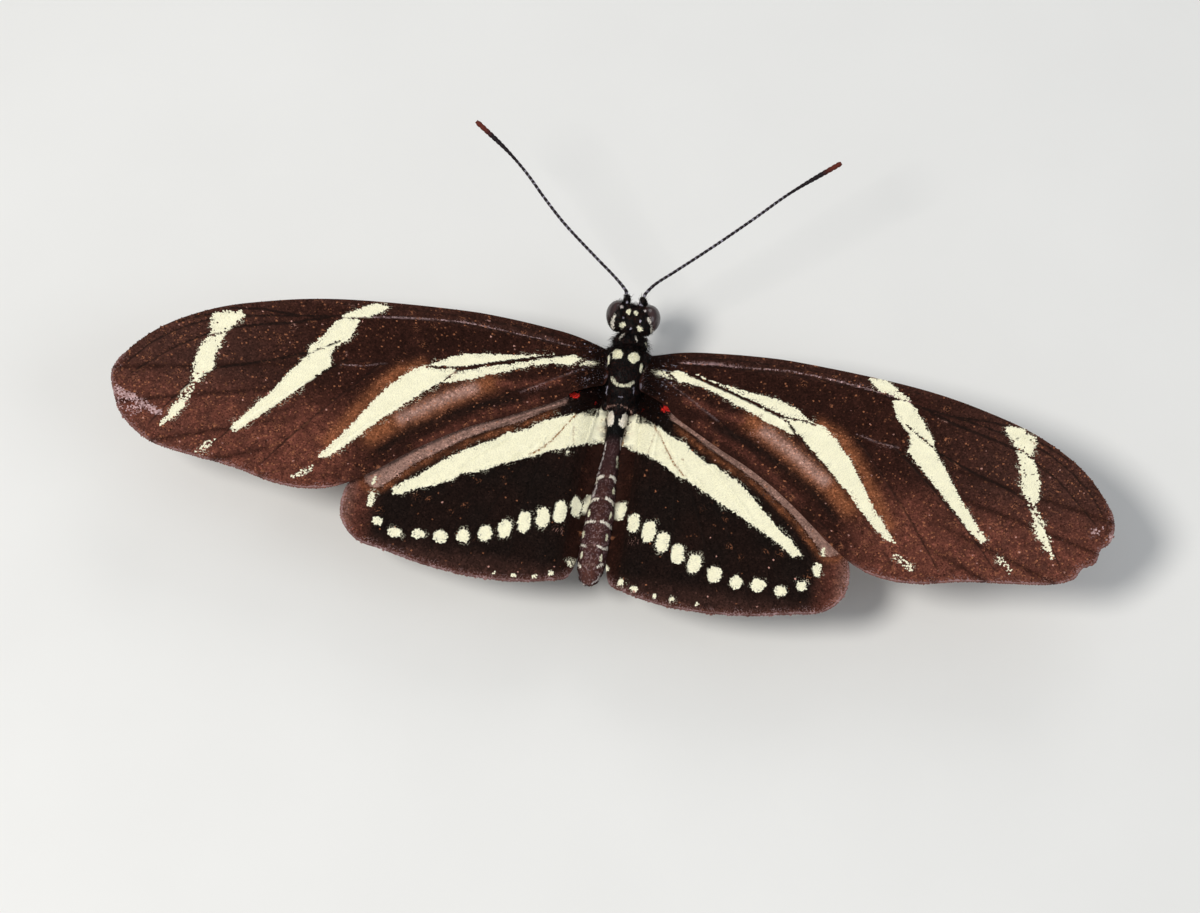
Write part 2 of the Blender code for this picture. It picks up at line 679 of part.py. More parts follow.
def stand_at_origin(pieces):
    """Hangs every piece on one empty, moved so that the origin is under the middle of the insect."""
    points = [vert.co for piece in pieces for vert in piece.data.vertices]
    stand = bpy.data.objects.new("insect", None)
    bpy.context.collection.objects.link(stand)
    for axis in range(2):
        values = [point[axis] for point in points]
        stand.location[axis] = -(min(values) + max(values)) / 2
    for piece in pieces:
        piece.parent = stand


def main():
    clear_scene()
    pieces = [add_thorax(), add_collar(), add_abdomen(), add_head(), add_coil()]
    pieces += add_eyes()
    pieces += add_feelers()
    pieces += add_legs()
    pieces += add_wings()
    stand_at_origin(pieces)


main()
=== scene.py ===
import math

import bmesh
import bpy
import numpy as np
from bpy.props import FloatProperty, FloatVectorProperty, IntProperty, PointerProperty
from mathutils import Matrix, Vector
from mathutils.geometry import delaunay_2d_cdt


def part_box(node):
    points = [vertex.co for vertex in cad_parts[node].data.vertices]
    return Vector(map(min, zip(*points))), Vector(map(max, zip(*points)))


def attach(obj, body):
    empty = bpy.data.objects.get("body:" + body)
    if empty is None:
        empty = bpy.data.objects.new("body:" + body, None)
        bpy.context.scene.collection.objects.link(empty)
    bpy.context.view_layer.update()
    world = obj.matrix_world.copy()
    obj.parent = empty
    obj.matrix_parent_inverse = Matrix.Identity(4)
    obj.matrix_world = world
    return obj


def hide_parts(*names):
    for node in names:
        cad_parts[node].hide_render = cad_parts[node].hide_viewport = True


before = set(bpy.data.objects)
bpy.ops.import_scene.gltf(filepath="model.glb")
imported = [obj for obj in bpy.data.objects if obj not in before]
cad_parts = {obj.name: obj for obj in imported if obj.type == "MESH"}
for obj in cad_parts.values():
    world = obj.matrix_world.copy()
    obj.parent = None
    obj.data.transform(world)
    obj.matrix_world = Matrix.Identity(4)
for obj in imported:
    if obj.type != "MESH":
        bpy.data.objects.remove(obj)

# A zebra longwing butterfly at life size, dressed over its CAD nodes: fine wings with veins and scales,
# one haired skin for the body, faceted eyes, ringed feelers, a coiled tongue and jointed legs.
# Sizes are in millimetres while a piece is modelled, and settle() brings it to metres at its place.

bl_info = {
    "name": "Zebra longwing",
    "version": (1, 0, 0),
    "blender": (4, 5, 0),
    "location": "3D View > Sidebar > Longwing",
    "description": "Builds a zebra longwing butterfly round its packed frame, piece by piece",
    "category": "Object",
}

MM = 0.001
SIDES = {"left": -1, "right": 1}

# The design's own values, as the CAD source gives them
EYE_RIGHT = Vector((1.05, 13.45, 7.65))
FORE_PLANE = 8.5
HIND_PLANE = 7.3
DIHEDRAL = 0.028
CAMBER = 0.35
CAMBER_MIDDLE = 2.0
CAMBER_REACH = 10.0
FORE_COSTA = (
    (1.5, 9.3), (2.6, 9.85), (5.0, 10.5), (8.0, 10.85), (11.0, 11.05), (14.0, 11.1), (20.0, 10.75),
    (26.0, 10.1), (31.0, 9.0), (36.0, 7.25), (40.0, 4.75), (42.7, 1.6), (43.3, 0.0),
)
FORE_MARGIN = {
    "left": ((42.9, -1.6), (41.6, -3.9), (38.8, -5.75)),
    "right": ((43.1, -1.5), (42.4, -2.2), (42.1, -3.5), (41.0, -4.2), (40.6, -5.1), (38.8, -5.9)),
}
FORE_HEM = (
    (35.0, -6.4), (31.5, -6.8), (27.5, -7.6), (25.0, -7.6), (22.3, -6.9), (19.9, -5.35), (17.0, -3.0),
    (14.3, -0.95), (11.9, 0.55), (9.2, 1.9), (7.0, 3.1), (5.3, 4.05), (4.5, 4.65), (4.1, 5.15), (3.2, 5.6),
    (2.4, 6.0), (1.5, 6.4),
)
FORE_VEINS = {
    "subcosta": ((3.3, 9.75), (7.0, 10.2), (12.0, 10.45), (17.0, 10.4), (21.0, 10.15), (25.5, 9.7)),
    "radius": (
        (3.0, 9.1), (6.0, 9.35), (10.0, 9.6), (14.0, 9.75), (18.0, 9.6), (21.5, 9.15), (24.5, 8.65),
        (28.5, 7.95), (32.6, 7.15), (35.5, 6.4), (38.0, 5.1), (40.5, 3.1), (42.0, 1.2),
    ),
    "radius_3": ((28.5, 7.95), (31.5, 8.0), (34.5, 7.6)),
    "radius_4": ((32.6, 7.15), (36.0, 6.7), (38.6, 5.5)),
    "median_1": ((25.5, 8.5), (28.5, 7.3), (30.8, 6.7), (33.3, 6.0), (35.3, 5.1), (38.5, 3.0), (41.6, 0.0)),
    "median_2": ((24.3, 6.4), (27.2, 4.6), (31.0, 3.0), (34.8, 1.6), (36.5, 0.0), (38.3, -2.6), (39.2, -4.3)),
    "median_3": ((23.6, 4.6), (25.0, 3.4), (28.0, 0.7), (31.5, -2.7), (33.8, -5.4)),
    "cubitus": ((3.0, 8.5), (5.0, 8.45), (8.0, 7.6), (11.0, 6.65), (14.0, 5.65), (17.0, 5.35),
                (20.4, 4.8), (23.6, 4.6)),
    "cubitus_1": ((20.4, 4.8), (21.4, 3.85), (24.2, 0.4), (26.8, -2.9), (29.0, -6.0)),
    "cubitus_2": ((14.0, 5.65), (15.5, 4.15), (18.0, 1.8), (20.2, -0.35), (22.5, -2.9), (25.3, -6.5)),
    "anal": ((3.1, 7.6), (6.0, 6.0), (8.5, 4.5), (11.0, 2.85), (14.5, 0.0), (18.0, -2.95), (21.6, -5.6)),
    "cell_end": ((25.5, 8.5), (24.7, 7.6), (24.3, 6.4), (24.0, 5.5), (23.6, 4.6)),
}
HIND_RIM = (
    (0.9, 6.8), (2.0, 7.1), (5.0, 6.8), (9.0, 5.7), (13.0, 3.2), (17.0, -0.3), (20.0, -3.6), (21.5, -6.2),
    (21.85, -8.2), (21.4, -9.8), (19.9, -11.1), (17.4, -11.6), (14.0, -12.25), (10.0, -12.6),
    (6.3, -12.45), (3.6, -11.9), (1.95, -11.2), (1.35, -9.8), (1.2, -8.0), (1.15, -6.0),
    (1.0, -4.0), (0.82, -2.0), (0.66, 0.0), (0.64, 1.6), (0.72, 3.4), (0.8, 4.6),
)
HIND_VEINS = {
    "subcosta": ((2.6, 5.6), (5.0, 5.5), (9.0, 4.2), (13.0, 1.6), (17.0, -2.1), (20.3, -6.0)),
    "radius": ((2.6, 5.0), (6.0, 3.4), (10.0, 1.0), (14.0, -2.2), (17.5, -5.6), (20.0, -9.6)),
    "median_1": ((8.4, 0.6), (11.5, -2.2), (14.5, -6.0), (17.0, -10.9)),
    "median_2": ((7.6, -0.7), (10.0, -3.6), (12.2, -7.4), (14.0, -11.6)),
    "median_3": ((6.9, -1.2), (8.4, -4.4), (9.8, -8.2), (10.7, -11.9)),
    "cubitus": ((2.5, 4.5), (3.6, 3.6), (5.0, 1.8), (6.2, 0.1), (6.9, -1.2)),
    "cubitus_1": ((5.7, 0.9), (6.1, -3.2), (6.7, -7.6), (7.2, -11.8)),
    "cubitus_2": ((3.6, 3.6), (3.7, 0.2), (3.9, -5.0), (4.2, -11.4)),
    "anal": ((1.9, 4.2), (2.2, 1.0), (2.5, -4.0), (2.7, -10.9)),
    "cell_end": ((10.0, 1.0), (8.4, 0.6), (7.6, -0.7), (6.9, -1.2)),
}
GUTTER_INNER = 1.0
GUTTER_OUTER = 3.2
GUTTER_DEPTHS = ((-13.0, 0.5), (-10.5, 0.9), (-6.0, 1.1), (0.0, 1.0), (4.6, 0.9))
FORE_SETTLE = -0.16
HIND_SETTLE = 0.3

# Body sections: place along Y, half width, middle height, rise, drop
THORAX = (
    (4.3, 0.85, 6.95, 0.82, 0.85), (4.75, 0.95, 6.95, 0.9, 0.95), (5.2, 1.3, 6.95, 1.25, 1.3),
    (5.8, 1.6, 6.9, 1.55, 1.75), (6.2, 1.75, 6.9, 2.05, 1.95), (6.7, 1.85, 6.9, 2.1, 2.1),
    (7.5, 2.05, 6.9, 2.45, 2.3), (8.6, 2.15, 6.9, 2.6, 2.4), (9.5, 2.05, 6.95, 2.4, 2.3),
    (10.1, 1.75, 7.0, 2.0, 2.0), (10.5, 1.35, 7.1, 1.55, 1.6),
)
NECK = (
    (10.2, 1.1, 7.15, 1.3, 1.4), (10.8, 1.4, 7.2, 1.5, 1.5), (11.15, 1.5, 7.25, 1.45, 1.45),
    (11.5, 1.3, 7.35, 1.2, 1.25), (12.0, 0.95, 7.45, 0.95, 0.95), (12.8, 0.8, 7.5, 0.85, 0.85),
)
NECK_X = -0.1
ABDOMEN_RADII = (
    (-11.1, 0.4), (-10.6, 0.86), (-9.4, 1.2), (-7.5, 1.3), (-5.5, 1.23), (-3.5, 1.06), (-1.5, 0.87),
    (0.7, 0.7), (2.85, 0.73), (3.9, 0.92), (4.45, 0.8),
)
ABDOMEN_HEIGHTS = ((-11.1, 6.05), (-8.0, 6.3), (-4.0, 6.6), (0.0, 6.85), (4.45, 6.95))
ABDOMEN_ENDS = (-11.1, 4.45)
ABDOMEN_SEAMS = (-10.4, -9.45, -7.9, -5.9, -3.95, -1.95, 0.3, 2.3, 3.7)
HEAD_CENTRE = Vector((-0.3, 13.25, 7.6))
HEAD_RADII = (1.38, 1.26, 1.3)
EYE_OFFSET = Vector((1.35, 0.26, 0.05))
EYE_RADII = (0.94, 1.2, 1.22)
SOCKET_SHIFTS = {"left": (0.23, 0.19), "right": (0.2, 0.24)}
SCAPE_FOOT = Vector((0.55, 0.75, 0.75))
SCAPE_TIP = Vector((0.76, 1.72, 1.22))
PALP_PATH = ((0.62, 1.0, -1.1), (0.8, 1.65, -0.6), (0.7, 1.9, 0.1), (0.52, 1.92, 0.6))
COIL_ROOT = Vector((0.0, 0.42, -1.62))
COIL_CENTRE = Vector((0.0, 1.5, -2.9))
COIL_RADII = (1.25, 0.33)
COIL_TURNS = 1.15
ANTENNAE = {
    "left": ((-1.06, 15.0, 8.84), (-1.19, 15.28, 8.95), (-2.24, 16.15, 9.35), (-4.24, 17.5, 10.05),
             (-7.25, 19.6, 11.15), (-9.26, 21.3, 11.95), (-11.27, 23.15, 12.8), (-13.27, 24.65, 13.6),
             (-16.2, 26.42, 14.6)),
    "right": ((0.47, 15.0, 8.84), (0.56, 15.28, 8.95), (1.25, 16.15, 9.25), (2.75, 17.35, 9.8),
              (5.72, 19.9, 10.65), (8.68, 22.55, 11.55), (11.64, 25.3, 12.45), (15.5, 28.36, 13.35)),
}
LEGS = {
    "midleg": {
        "hip": (1.2, 9.1, 4.75), "knee": (4.9, 10.7, 5.9), "ankle": (6.7, 11.3, 0.95),
        "foot": ((6.6, 11.2), (7.5, 12.2), (9.3, 14.0)),
    },
    "hindleg": {
        "hip": (1.2, 6.6, 4.95), "knee": (4.3, 2.7, 5.6), "ankle": (6.0, -1.9, 0.95),
        "foot": ((5.95, -1.7), (6.5, -3.4), (7.7, -6.3)),
    },
}
FORELEG_PATH = ((0.75, 10.9, 5.6), (0.95, 12.1, 5.0), (1.0, 12.9, 4.65), (0.85, 12.2, 4.1), (0.8, 11.0, 3.9))

# The photograph's viewpoint
VIEW_TURN = math.radians(9.67)
VIEW_DROP = math.radians(66.8)
VIEW_DISTANCE = 427.0
VIEW_LENS = 150.0
VIEW_SENSOR = 36.0
FRAME_SIZE = (1200, 913)
PIXELS_PER_MM = 11.7
MIDDLE_PIXEL = (609.8, 454.6)
READ_ORIGIN = (612.5, 455.0)
READ_TURN = (0.989, 0.1478)

low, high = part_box("eye_right")
SHIFT = (low + high) / 2 - EYE_RIGHT * MM


def view_axes():
    """The camera's right, up and forward directions."""
    right = Vector((math.cos(VIEW_TURN), math.sin(VIEW_TURN), 0.0))
    forward = Vector((
        -math.sin(VIEW_TURN) * math.cos(VIEW_DROP),
        math.cos(VIEW_TURN) * math.cos(VIEW_DROP),
        -math.sin(VIEW_DROP),
    ))
    return right, right.cross(forward), forward


def eye_point():
    """Where the camera stands, in millimetres of the design."""
    right, up, forward = view_axes()
    across = (FRAME_SIZE[0] / 2 - MIDDLE_PIXEL[0]) / PIXELS_PER_MM
    down = (FRAME_SIZE[1] / 2 - MIDDLE_PIXEL[1]) / PIXELS_PER_MM
    target = Vector((0.0, 0.0, FORE_PLANE)) + right * across - up * down
    return target - forward * VIEW_DISTANCE


def sight(u, v):
    """The direction from the camera through a reading (u, v), in millimetres along the wings."""
    px = READ_ORIGIN[0] + PIXELS_PER_MM * (u * READ_TURN[0] + v * READ_TURN[1])
    py = READ_ORIGIN[1] + PIXELS_PER_MM * (u * READ_TURN[1] - v * READ_TURN[0])
    right, up, forward = view_axes()
    wide = VIEW_SENSOR / VIEW_LENS
    across = (px / FRAME_SIZE[0] - 0.5) * wide
    down = (py - FRAME_SIZE[1] / 2) / FRAME_SIZE[0] * wide
    return (forward + right * across - up * down).normalized()


def on_wing(points, side, height):
    """Readings turned into (x, y) on a wing, x away from the body."""
    eye = eye_point()
    placed = []
    for u, v in points:
        ray = sight(side * u, v)
        z = FORE_PLANE
        for _ in range(6):
            at = eye + ray * ((z - eye.z) / ray.z)
            z = float(height(np.array([abs(at.x)]), np.array([at.y]))[0])
        placed.append((side * at.x, at.y))
    return placed


# Small tools
def ease(share):
    share = np.clip(share, 0.0, 1.0)
    return share * share * (3.0 - 2.0 * share)


def table_value(table, places):
    """Values at places in a table of (place, value) rows, with a smooth step between rows."""
    places = np.asarray(places, float)
    rows = sorted(table)
    result = np.full(places.shape, rows[0][1], float)
    for (first, start), (last, end) in zip(rows, rows[1:]):
        step = start + (end - start) * ease((places - first) / (last - first))
        result = np.where(places > first, step, result)
    return result


def linear(colour):
    return np.array([c / 12.92 if c <= 0.04045 else ((c + 0.055) / 1.055) ** 2.4 for c in colour])


def smooth_path(points, spacing, closed=False):
    """Points about `spacing` apart on a curve through every given point."""
    points = [Vector(point) for point in points]
    count = len(points)
    path = []
    for i in range(count if closed else count - 1):
        before = points[i - 1] if closed or i else points[0]
        start = points[i]
        end = points[(i + 1) % count]
        after = points[(i + 2) % count] if closed or i + 2 < count else end
        length = (end - start).length
        leave = (end - before) * (length / ((end - start).length + (start - before).length))
        reach = (after - start) * (length / ((after - end).length + (end - start).length))
        steps = max(1, round(length / spacing))
        for step in range(steps):
            t = step / steps
            path.append(
                start * (2 * t**3 - 3 * t**2 + 1) + leave * (t**3 - 2 * t**2 + t)
                + end * (3 * t**2 - 2 * t**3) + reach * (t**3 - t**2)
            )
    if not closed:
        path.append(points[-1])
    return np.array([tuple(point) for point in path])


def distance_to(points, path):
    """Distances from points to a path of straight pieces, and the share of the way along it."""
    best = np.full(len(points), np.inf)
    share = np.zeros(len(points))
    pieces = len(path) - 1
    for i in range(pieces):
        start = path[i]
        along = path[i + 1] - start
        part = np.clip(((points - start) @ along) / (along @ along), 0.0, 1.0)
        distance = np.linalg.norm(points - start - part[:, None] * along, axis=1)
        nearer = distance < best
        best = np.where(nearer, distance, best)
        share = np.where(nearer, (i + part) / pieces, share)
    return best, share


def inside(points, outline):
    """Which points lie inside a closed outline."""
    outline = np.asarray(outline, float)
    result = np.zeros(len(points), bool)
    for (x0, y0), (x1, y1) in zip(outline, np.roll(outline, -1, axis=0)):
        if y0 == y1:
            continue
        crosses = (y0 > points[:, 1]) != (y1 > points[:, 1])
        at = x0 + (points[:, 1] - y0) * (x1 - x0) / (y1 - y0)
        result ^= crosses & (points[:, 0] < at)
    return result


class Mottle:
    """Smooth seeded noise from 0 to 1, with patches of a given size."""

    CELLS = 64

    def __init__(self, seed, size):
        self.size = size
        self.values = np.random.default_rng(seed).random((self.CELLS,) * 3)

    def __call__(self, points):
        points = np.asarray(points, float)
        if points.shape[1] == 2:
            points = np.column_stack((points, np.zeros(len(points))))
        scaled = points / self.size + 0.37
        cell = np.floor(scaled).astype(int)
        part = ease(scaled - cell)
        total = np.zeros(len(points))
        for corner in np.ndindex(2, 2, 2):
            index = (cell + corner) % self.CELLS
            weight = np.prod(np.where(np.array(corner), part, 1.0 - part), axis=1)
            total += weight * self.values[index[:, 0], index[:, 1], index[:, 2]]
        return total


# Handling of objects
def deselect():
    if bpy.context.object and bpy.context.object.mode != "OBJECT":
        bpy.ops.object.mode_set(mode="OBJECT")
    bpy.ops.object.select_all(action="DESELECT")


def select_only(obj):
    deselect()
    obj.select_set(True)
    bpy.context.view_layer.objects.active = obj


def apply_modifier(obj, kind, **settings):
    select_only(obj)
    modifier = obj.modifiers.new(kind.lower(), kind)
    for name, value in settings.items():
        setattr(modifier, name, value)
    bpy.ops.object.modifier_apply(modifier=modifier.name)


def join(name, objects):
    """One object out of several."""
    deselect()
    for obj in objects:
        obj.select_set(True)
    bpy.context.view_layer.objects.active = objects[0]
    if len(objects) > 1:
        bpy.ops.object.join()
    obj = bpy.context.object
    obj.name = name
    obj.data.name = name
    return obj


def mesh_object(name, points, faces):
    """An object from arrays of points and triangles."""
    points = np.ascontiguousarray(points, np.float32)
    faces = np.ascontiguousarray(faces, np.int32)
    mesh = bpy.data.meshes.new(name)
    mesh.vertices.add(len(points))
    mesh.vertices.foreach_set("co", points.ravel())
    mesh.loops.add(faces.size)
    mesh.loops.foreach_set("vertex_index", faces.ravel())
    mesh.polygons.add(len(faces))
    mesh.polygons.foreach_set("loop_start", np.arange(0, faces.size, 3, dtype=np.int32))
    mesh.update(calc_edges=True)
    mesh.validate()
    mesh.shade_flat()
    obj = bpy.data.objects.new(name, mesh)
    bpy.context.scene.collection.objects.link(obj)
    return obj


def vertex_points(obj):
    points = np.empty(len(obj.data.vertices) * 3, np.float32)
    obj.data.vertices.foreach_get("co", points)
    return points.reshape(-1, 3).astype(float)


def paint(obj, colours):
    """Keeps a colour for each vertex in the attribute that the materials read."""
    layer = obj.data.attributes.new("tint", "FLOAT_COLOR", "POINT")
    rgba = np.column_stack((colours, np.ones(len(colours)))).astype(np.float32)
    layer.data.foreach_set("color", rgba.ravel())


def settle(obj, material, nodes=()):
    """Brings a finished piece from millimetres to metres at its place, and gives it to the frame."""
    select_only(obj)
    bpy.ops.object.transform_apply(location=True, rotation=True, scale=True)
    obj.data.transform(Matrix.Translation(SHIFT) @ Matrix.Scale(MM, 4))
    obj.data.update()
    obj.data.materials.clear()
    obj.data.materials.append(material)
    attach(obj, "root")
    if nodes:
        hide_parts(*nodes)
    deselect()


def smooth_faces(obj, degrees=60.0):
    select_only(obj)
    bpy.ops.object.shade_smooth_by_angle(angle=math.radians(degrees))


# Shapes to start from
def add_ball(centre, radii, segments=32, rings=20):
    """A sphere stretched to three radii."""
    deselect()
    bpy.ops.mesh.primitive_uv_sphere_add(segments=segments, ring_count=rings, radius=1.0, location=centre)
    bpy.ops.object.mode_set(mode="EDIT")
    bpy.ops.transform.resize(value=radii)
    bpy.ops.object.mode_set(mode="OBJECT")
    bpy.ops.object.transform_apply(location=True, rotation=True, scale=True)
    return bpy.context.object


def egg_section(y, half_width, middle, rise, drop, sides=28, x=0.0):
    """Points of an egg-shaped section across the body."""
    angles = np.arange(sides) * 2 * math.pi / sides
    up = np.sin(angles)
    heights = middle + up * np.where(up > 0, rise, drop)
    return np.column_stack((x + half_width * np.cos(angles), np.full(sides, y), heights))


def extrude_sections(sections):
    """A closed body, extruded from one section to the next."""
    deselect()
    bpy.ops.mesh.primitive_circle_add(vertices=len(sections[0]), radius=1.0, fill_type="NGON")
    obj = bpy.context.object
    bpy.ops.object.mode_set(mode="EDIT")
    bm = bmesh.from_edit_mesh(obj.data)
    for vert, point in zip(bm.verts, sections[0]):
        vert.co = point
    for before, section in zip(sections, sections[1:]):
        bmesh.update_edit_mesh(obj.data)
        bpy.ops.mesh.extrude_region_move()
        bm = bmesh.from_edit_mesh(obj.data)
        for vert in bm.verts:
            if vert.select:
                nearest = np.argmin(np.linalg.norm(before - np.array(vert.co), axis=1))
                vert.co = section[nearest]
    bmesh.update_edit_mesh(obj.data)
    bpy.ops.mesh.select_all(action="SELECT")
    bpy.ops.mesh.normals_make_consistent(inside=False)
    bpy.ops.object.mode_set(mode="OBJECT")
    return obj


def add_tube(points, radii, sides=8):
    """A closed round tube through points, with a radius for each."""
    deselect()
    bpy.ops.curve.primitive_nurbs_path_add(radius=1.0)
    obj = bpy.context.object
    curve = obj.data
    curve.splines.clear()
    curve.dimensions = "3D"
    curve.bevel_depth = 1.0
    curve.bevel_resolution = max(0, sides // 2 - 2)
    curve.use_fill_caps = True
    spline = curve.splines.new("POLY")
    spline.points.add(len(points) - 1)
    for point, place, radius in zip(spline.points, points, radii):
        point.co = (*place, 1.0)
        point.radius = radius
    bpy.ops.object.convert(target="MESH")
    return bpy.context.object


# Wing markings, read from the photograph as (u, v) millimetres from the body's middle, u away from the body
INNER_STRIPE = (
    (2.1, 7.65), (3.6, 7.75), (5.3, 8.0), (7.5, 7.5), (10.0, 7.1), (12.0, 6.9), (13.5, 6.7), (15.0, 6.2),
    (16.3, 5.4), (17.5, 5.0), (18.8, 4.0), (20.0, 2.7), (21.0, 1.3), (22.0, -0.1), (23.3, -1.9),
    (24.3, -3.1), (25.0, -3.9), (24.0, -3.7), (22.5, -2.4), (20.2, -0.1), (18.0, 1.85), (15.5, 4.0),
    (14.9, 4.0), (13.0, 4.6), (12.0, 5.0), (10.0, 5.7), (8.0, 6.5), (6.0, 7.0), (4.0, 7.1), (2.2, 7.4),
)
COSTAL_PATCH = ((20.6, 9.7), (21.9, 9.8), (22.9, 9.3), (24.6, 8.3), (23.7, 8.3), (21.7, 8.75))
MIDDLE_STRIPE = (
    (23.0, 8.2), (24.4, 8.2), (25.1, 7.7), (25.7, 6.7), (26.8, 5.5), (27.2, 4.4), (28.4, 2.8), (29.7, 1.0),
    (31.1, -0.7), (32.3, -2.1), (32.6, -2.5), (32.2, -2.9), (30.5, -1.4), (28.0, 1.0), (25.9, 3.0),
    (24.8, 4.0), (25.05, 4.8), (24.8, 5.6), (23.6, 6.6), (23.2, 7.4),
)
OUTER_STRIPE = (
    (33.0, 7.5), (34.5, 7.3), (35.4, 6.9), (35.6, 6.5), (35.4, 5.1), (36.0, 4.2), (36.4, 3.1), (36.6, 1.7),
    (36.3, 0.8), (37.2, -0.1), (37.8, -1.4), (38.3, -2.5), (38.7, -3.4), (37.8, -2.6), (36.9, -1.5),
    (36.5, -0.4), (36.0, 0.7), (35.3, 1.7), (34.7, 2.5), (34.8, 3.2), (34.5, 4.3), (34.1, 5.4), (33.5, 6.3),
    (32.9, 7.0),
)
FORE_CREAM = (INNER_STRIPE, COSTAL_PATCH, MIDDLE_STRIPE, OUTER_STRIPE)
# Thin dark lines over the cream: path and half width
FORE_LINES = (
    (((5.0, 7.95), (8.0, 7.1), (11.0, 6.25), (14.0, 5.3)), 0.16),
    (((14.0, 5.35), (16.8, 5.15)), 0.1),
    (((3.2, 8.0), (4.3, 7.1)), 0.16),
    (((14.0, 5.35), (15.4, 3.8)), 0.07),
    (((24.4, 6.2), (27.1, 4.6)), 0.08),
    (((33.3, 6.0), (35.4, 5.0)), 0.09),
    (((35.6, 1.4), (38.3, -1.9)), 0.08),
)
# Broken cream marks near the hem: path and half width
FORE_FLECKS = (
    (((25.2, -4.9), (26.6, -5.8)), 0.28),
    (((34.0, -3.9), (35.0, -4.8)), 0.25),
)
# Soft lines: path, half width, colour name, strength; some of them paint sheen, shadow and highlights, as
# noted at each
FORE_TRACES = (
    # Painted sheen: the bronze band and the grey pink highlight along the fold below the inner stripe
    (((11.4, 4.5), (13.8, 3.1), (16.2, 1.6), (18.5, 0.1), (20.6, -1.4)), 0.85, "bronze", 0.95),
    (((12.6, 3.9), (14.6, 2.8), (16.6, 1.5), (18.2, 0.5)), 0.5, "dusk", 1.0),
    (((17.2, 5.1), (18.9, 4.4), (20.3, 3.0), (21.4, 1.5), (22.6, -0.2), (24.2, -2.4)), 0.6, "bronze", 0.85),
    (((5.5, 5.6), (8.0, 4.9), (10.5, 4.6)), 0.35, "rust", 0.6),
    (((7.0, 3.6), (10.0, 2.4), (13.0, 0.7), (16.5, -1.6)), 0.4, "rust", 0.45),
    # Painted shadow: the dark line in that fold
    (((8.3, 3.5), (11.5, 2.7), (13.2, 1.9), (15.9, 0.4), (17.6, -0.7), (19.6, -2.5)), 0.42, "black", 0.9),
    (((26.0, -1.0), (27.0, -3.5), (28.5, -5.5)), 1.3, "rust", 0.5),
    # Painted highlights: thin pale lines where light catches the radius and two other veins
    (((4.5, 8.6), (6.0, 8.75), (9.0, 8.95), (11.5, 9.15), (14.0, 9.3), (17.0, 9.15), (20.0, 8.85),
      (24.5, 8.25)), 0.05, "rim", 0.75),
    (((20.4, 4.8), (22.2, 4.35), (24.0, 4.2)), 0.05, "rim", 0.4),
    (((3.4, 7.0), (6.0, 5.6), (8.5, 4.15)), 0.05, "rim", 0.3),
)
# Rubbed places at the outer edge: outline of each, and how much of it is bare
FORE_WORN = {
    "left": (
        (((38.4, -2.2), (39.2, -1.6), (42.8, -0.3), (42.9, -1.0), (41.0, -1.7), (39.0, -2.3)), 0.75),
        (((39.6, -1.8), (42.8, -0.6), (42.6, -2.0), (41.2, -2.8)), 0.3),
    ),
    "right": (
        (((41.2, -0.2), (42.4, 0.1), (42.4, -0.8), (41.6, -0.9)), 0.4),
        (((42.8, -0.4), (43.3, -0.4), (43.3, -1.2), (42.8, -1.1)), 0.6),
    ),
}
HIND_BAND = {
    "left": (
        (1.2, 3.9), (2.2, 3.7), (3.4, 3.1), (4.5, 2.7), (6.2, 2.1), (7.0, 1.5), (8.2, 0.7), (9.1, 0.6),
        (10.0, -0.1), (12.0, -1.1), (14.0, -2.4), (16.0, -4.1), (17.2, -4.8), (18.1, -5.6), (18.1, -6.1),
        (17.5, -6.0), (16.0, -5.2), (14.5, -4.8), (13.2, -4.0), (12.7, -3.6), (11.0, -3.0), (9.5, -2.3),
        (8.0, -1.7), (6.5, -1.0), (5.0, -0.3), (3.5, 0.2), (2.0, 0.7), (0.8, 0.9),
    ),
    "right": (
        (1.4, 3.9), (3.1, 3.2), (4.5, 2.4), (6.0, 1.9), (7.0, 1.1), (8.0, 0.5), (8.6, 0.5), (9.5, 0.0),
        (10.8, -0.6), (12.0, -1.5), (13.4, -2.8), (15.0, -4.2), (16.1, -4.9), (17.2, -6.0), (17.1, -6.1),
        (16.5, -6.4), (15.3, -5.4), (14.0, -4.8), (12.0, -3.8), (10.0, -2.8), (8.0, -1.9), (6.5, -1.1),
        (5.5, -0.9), (4.0, 0.0), (2.0, 0.6), (0.6, 0.95),
    ),
}
# Golden veins and folds over the band: path, half width, strength
HIND_LINES = {
    "left": (
        (((3.4, 3.3), (3.6, 2.9)), 0.09, 1.0),
        (((3.5, 3.0), (4.0, 2.4), (5.2, 0.6), (6.0, -0.3), (7.0, -1.0)), 0.065, 1.1),
        (((3.7, 2.25), (3.4, 0.35)), 0.06, 0.45), (((1.5, 3.8), (1.05, 0.9)), 0.06, 0.45),
        (((1.2, 3.6), (0.95, 1.4)), 0.05, 0.35),
    ),
    "right": (
        (((3.15, 3.3), (3.3, 2.8)), 0.09, 1.0),
        (((3.2, 3.0), (3.9, 2.0), (5.3, 0.04), (6.4, -0.9)), 0.065, 1.1),
        (((3.35, 2.5), (2.9, 0.4)), 0.05, 0.35),
        (((1.1, 3.9), (1.0, 2.7), (0.78, 1.8), (0.72, 1.0)), 0.07, 1.0),
        (((1.35, 3.7), (1.2, 2.7), (1.0, 1.6)), 0.05, 0.5),
        (((5.95, 0.55), (6.05, 0.55)), 0.07, 1.2),
    ),
}
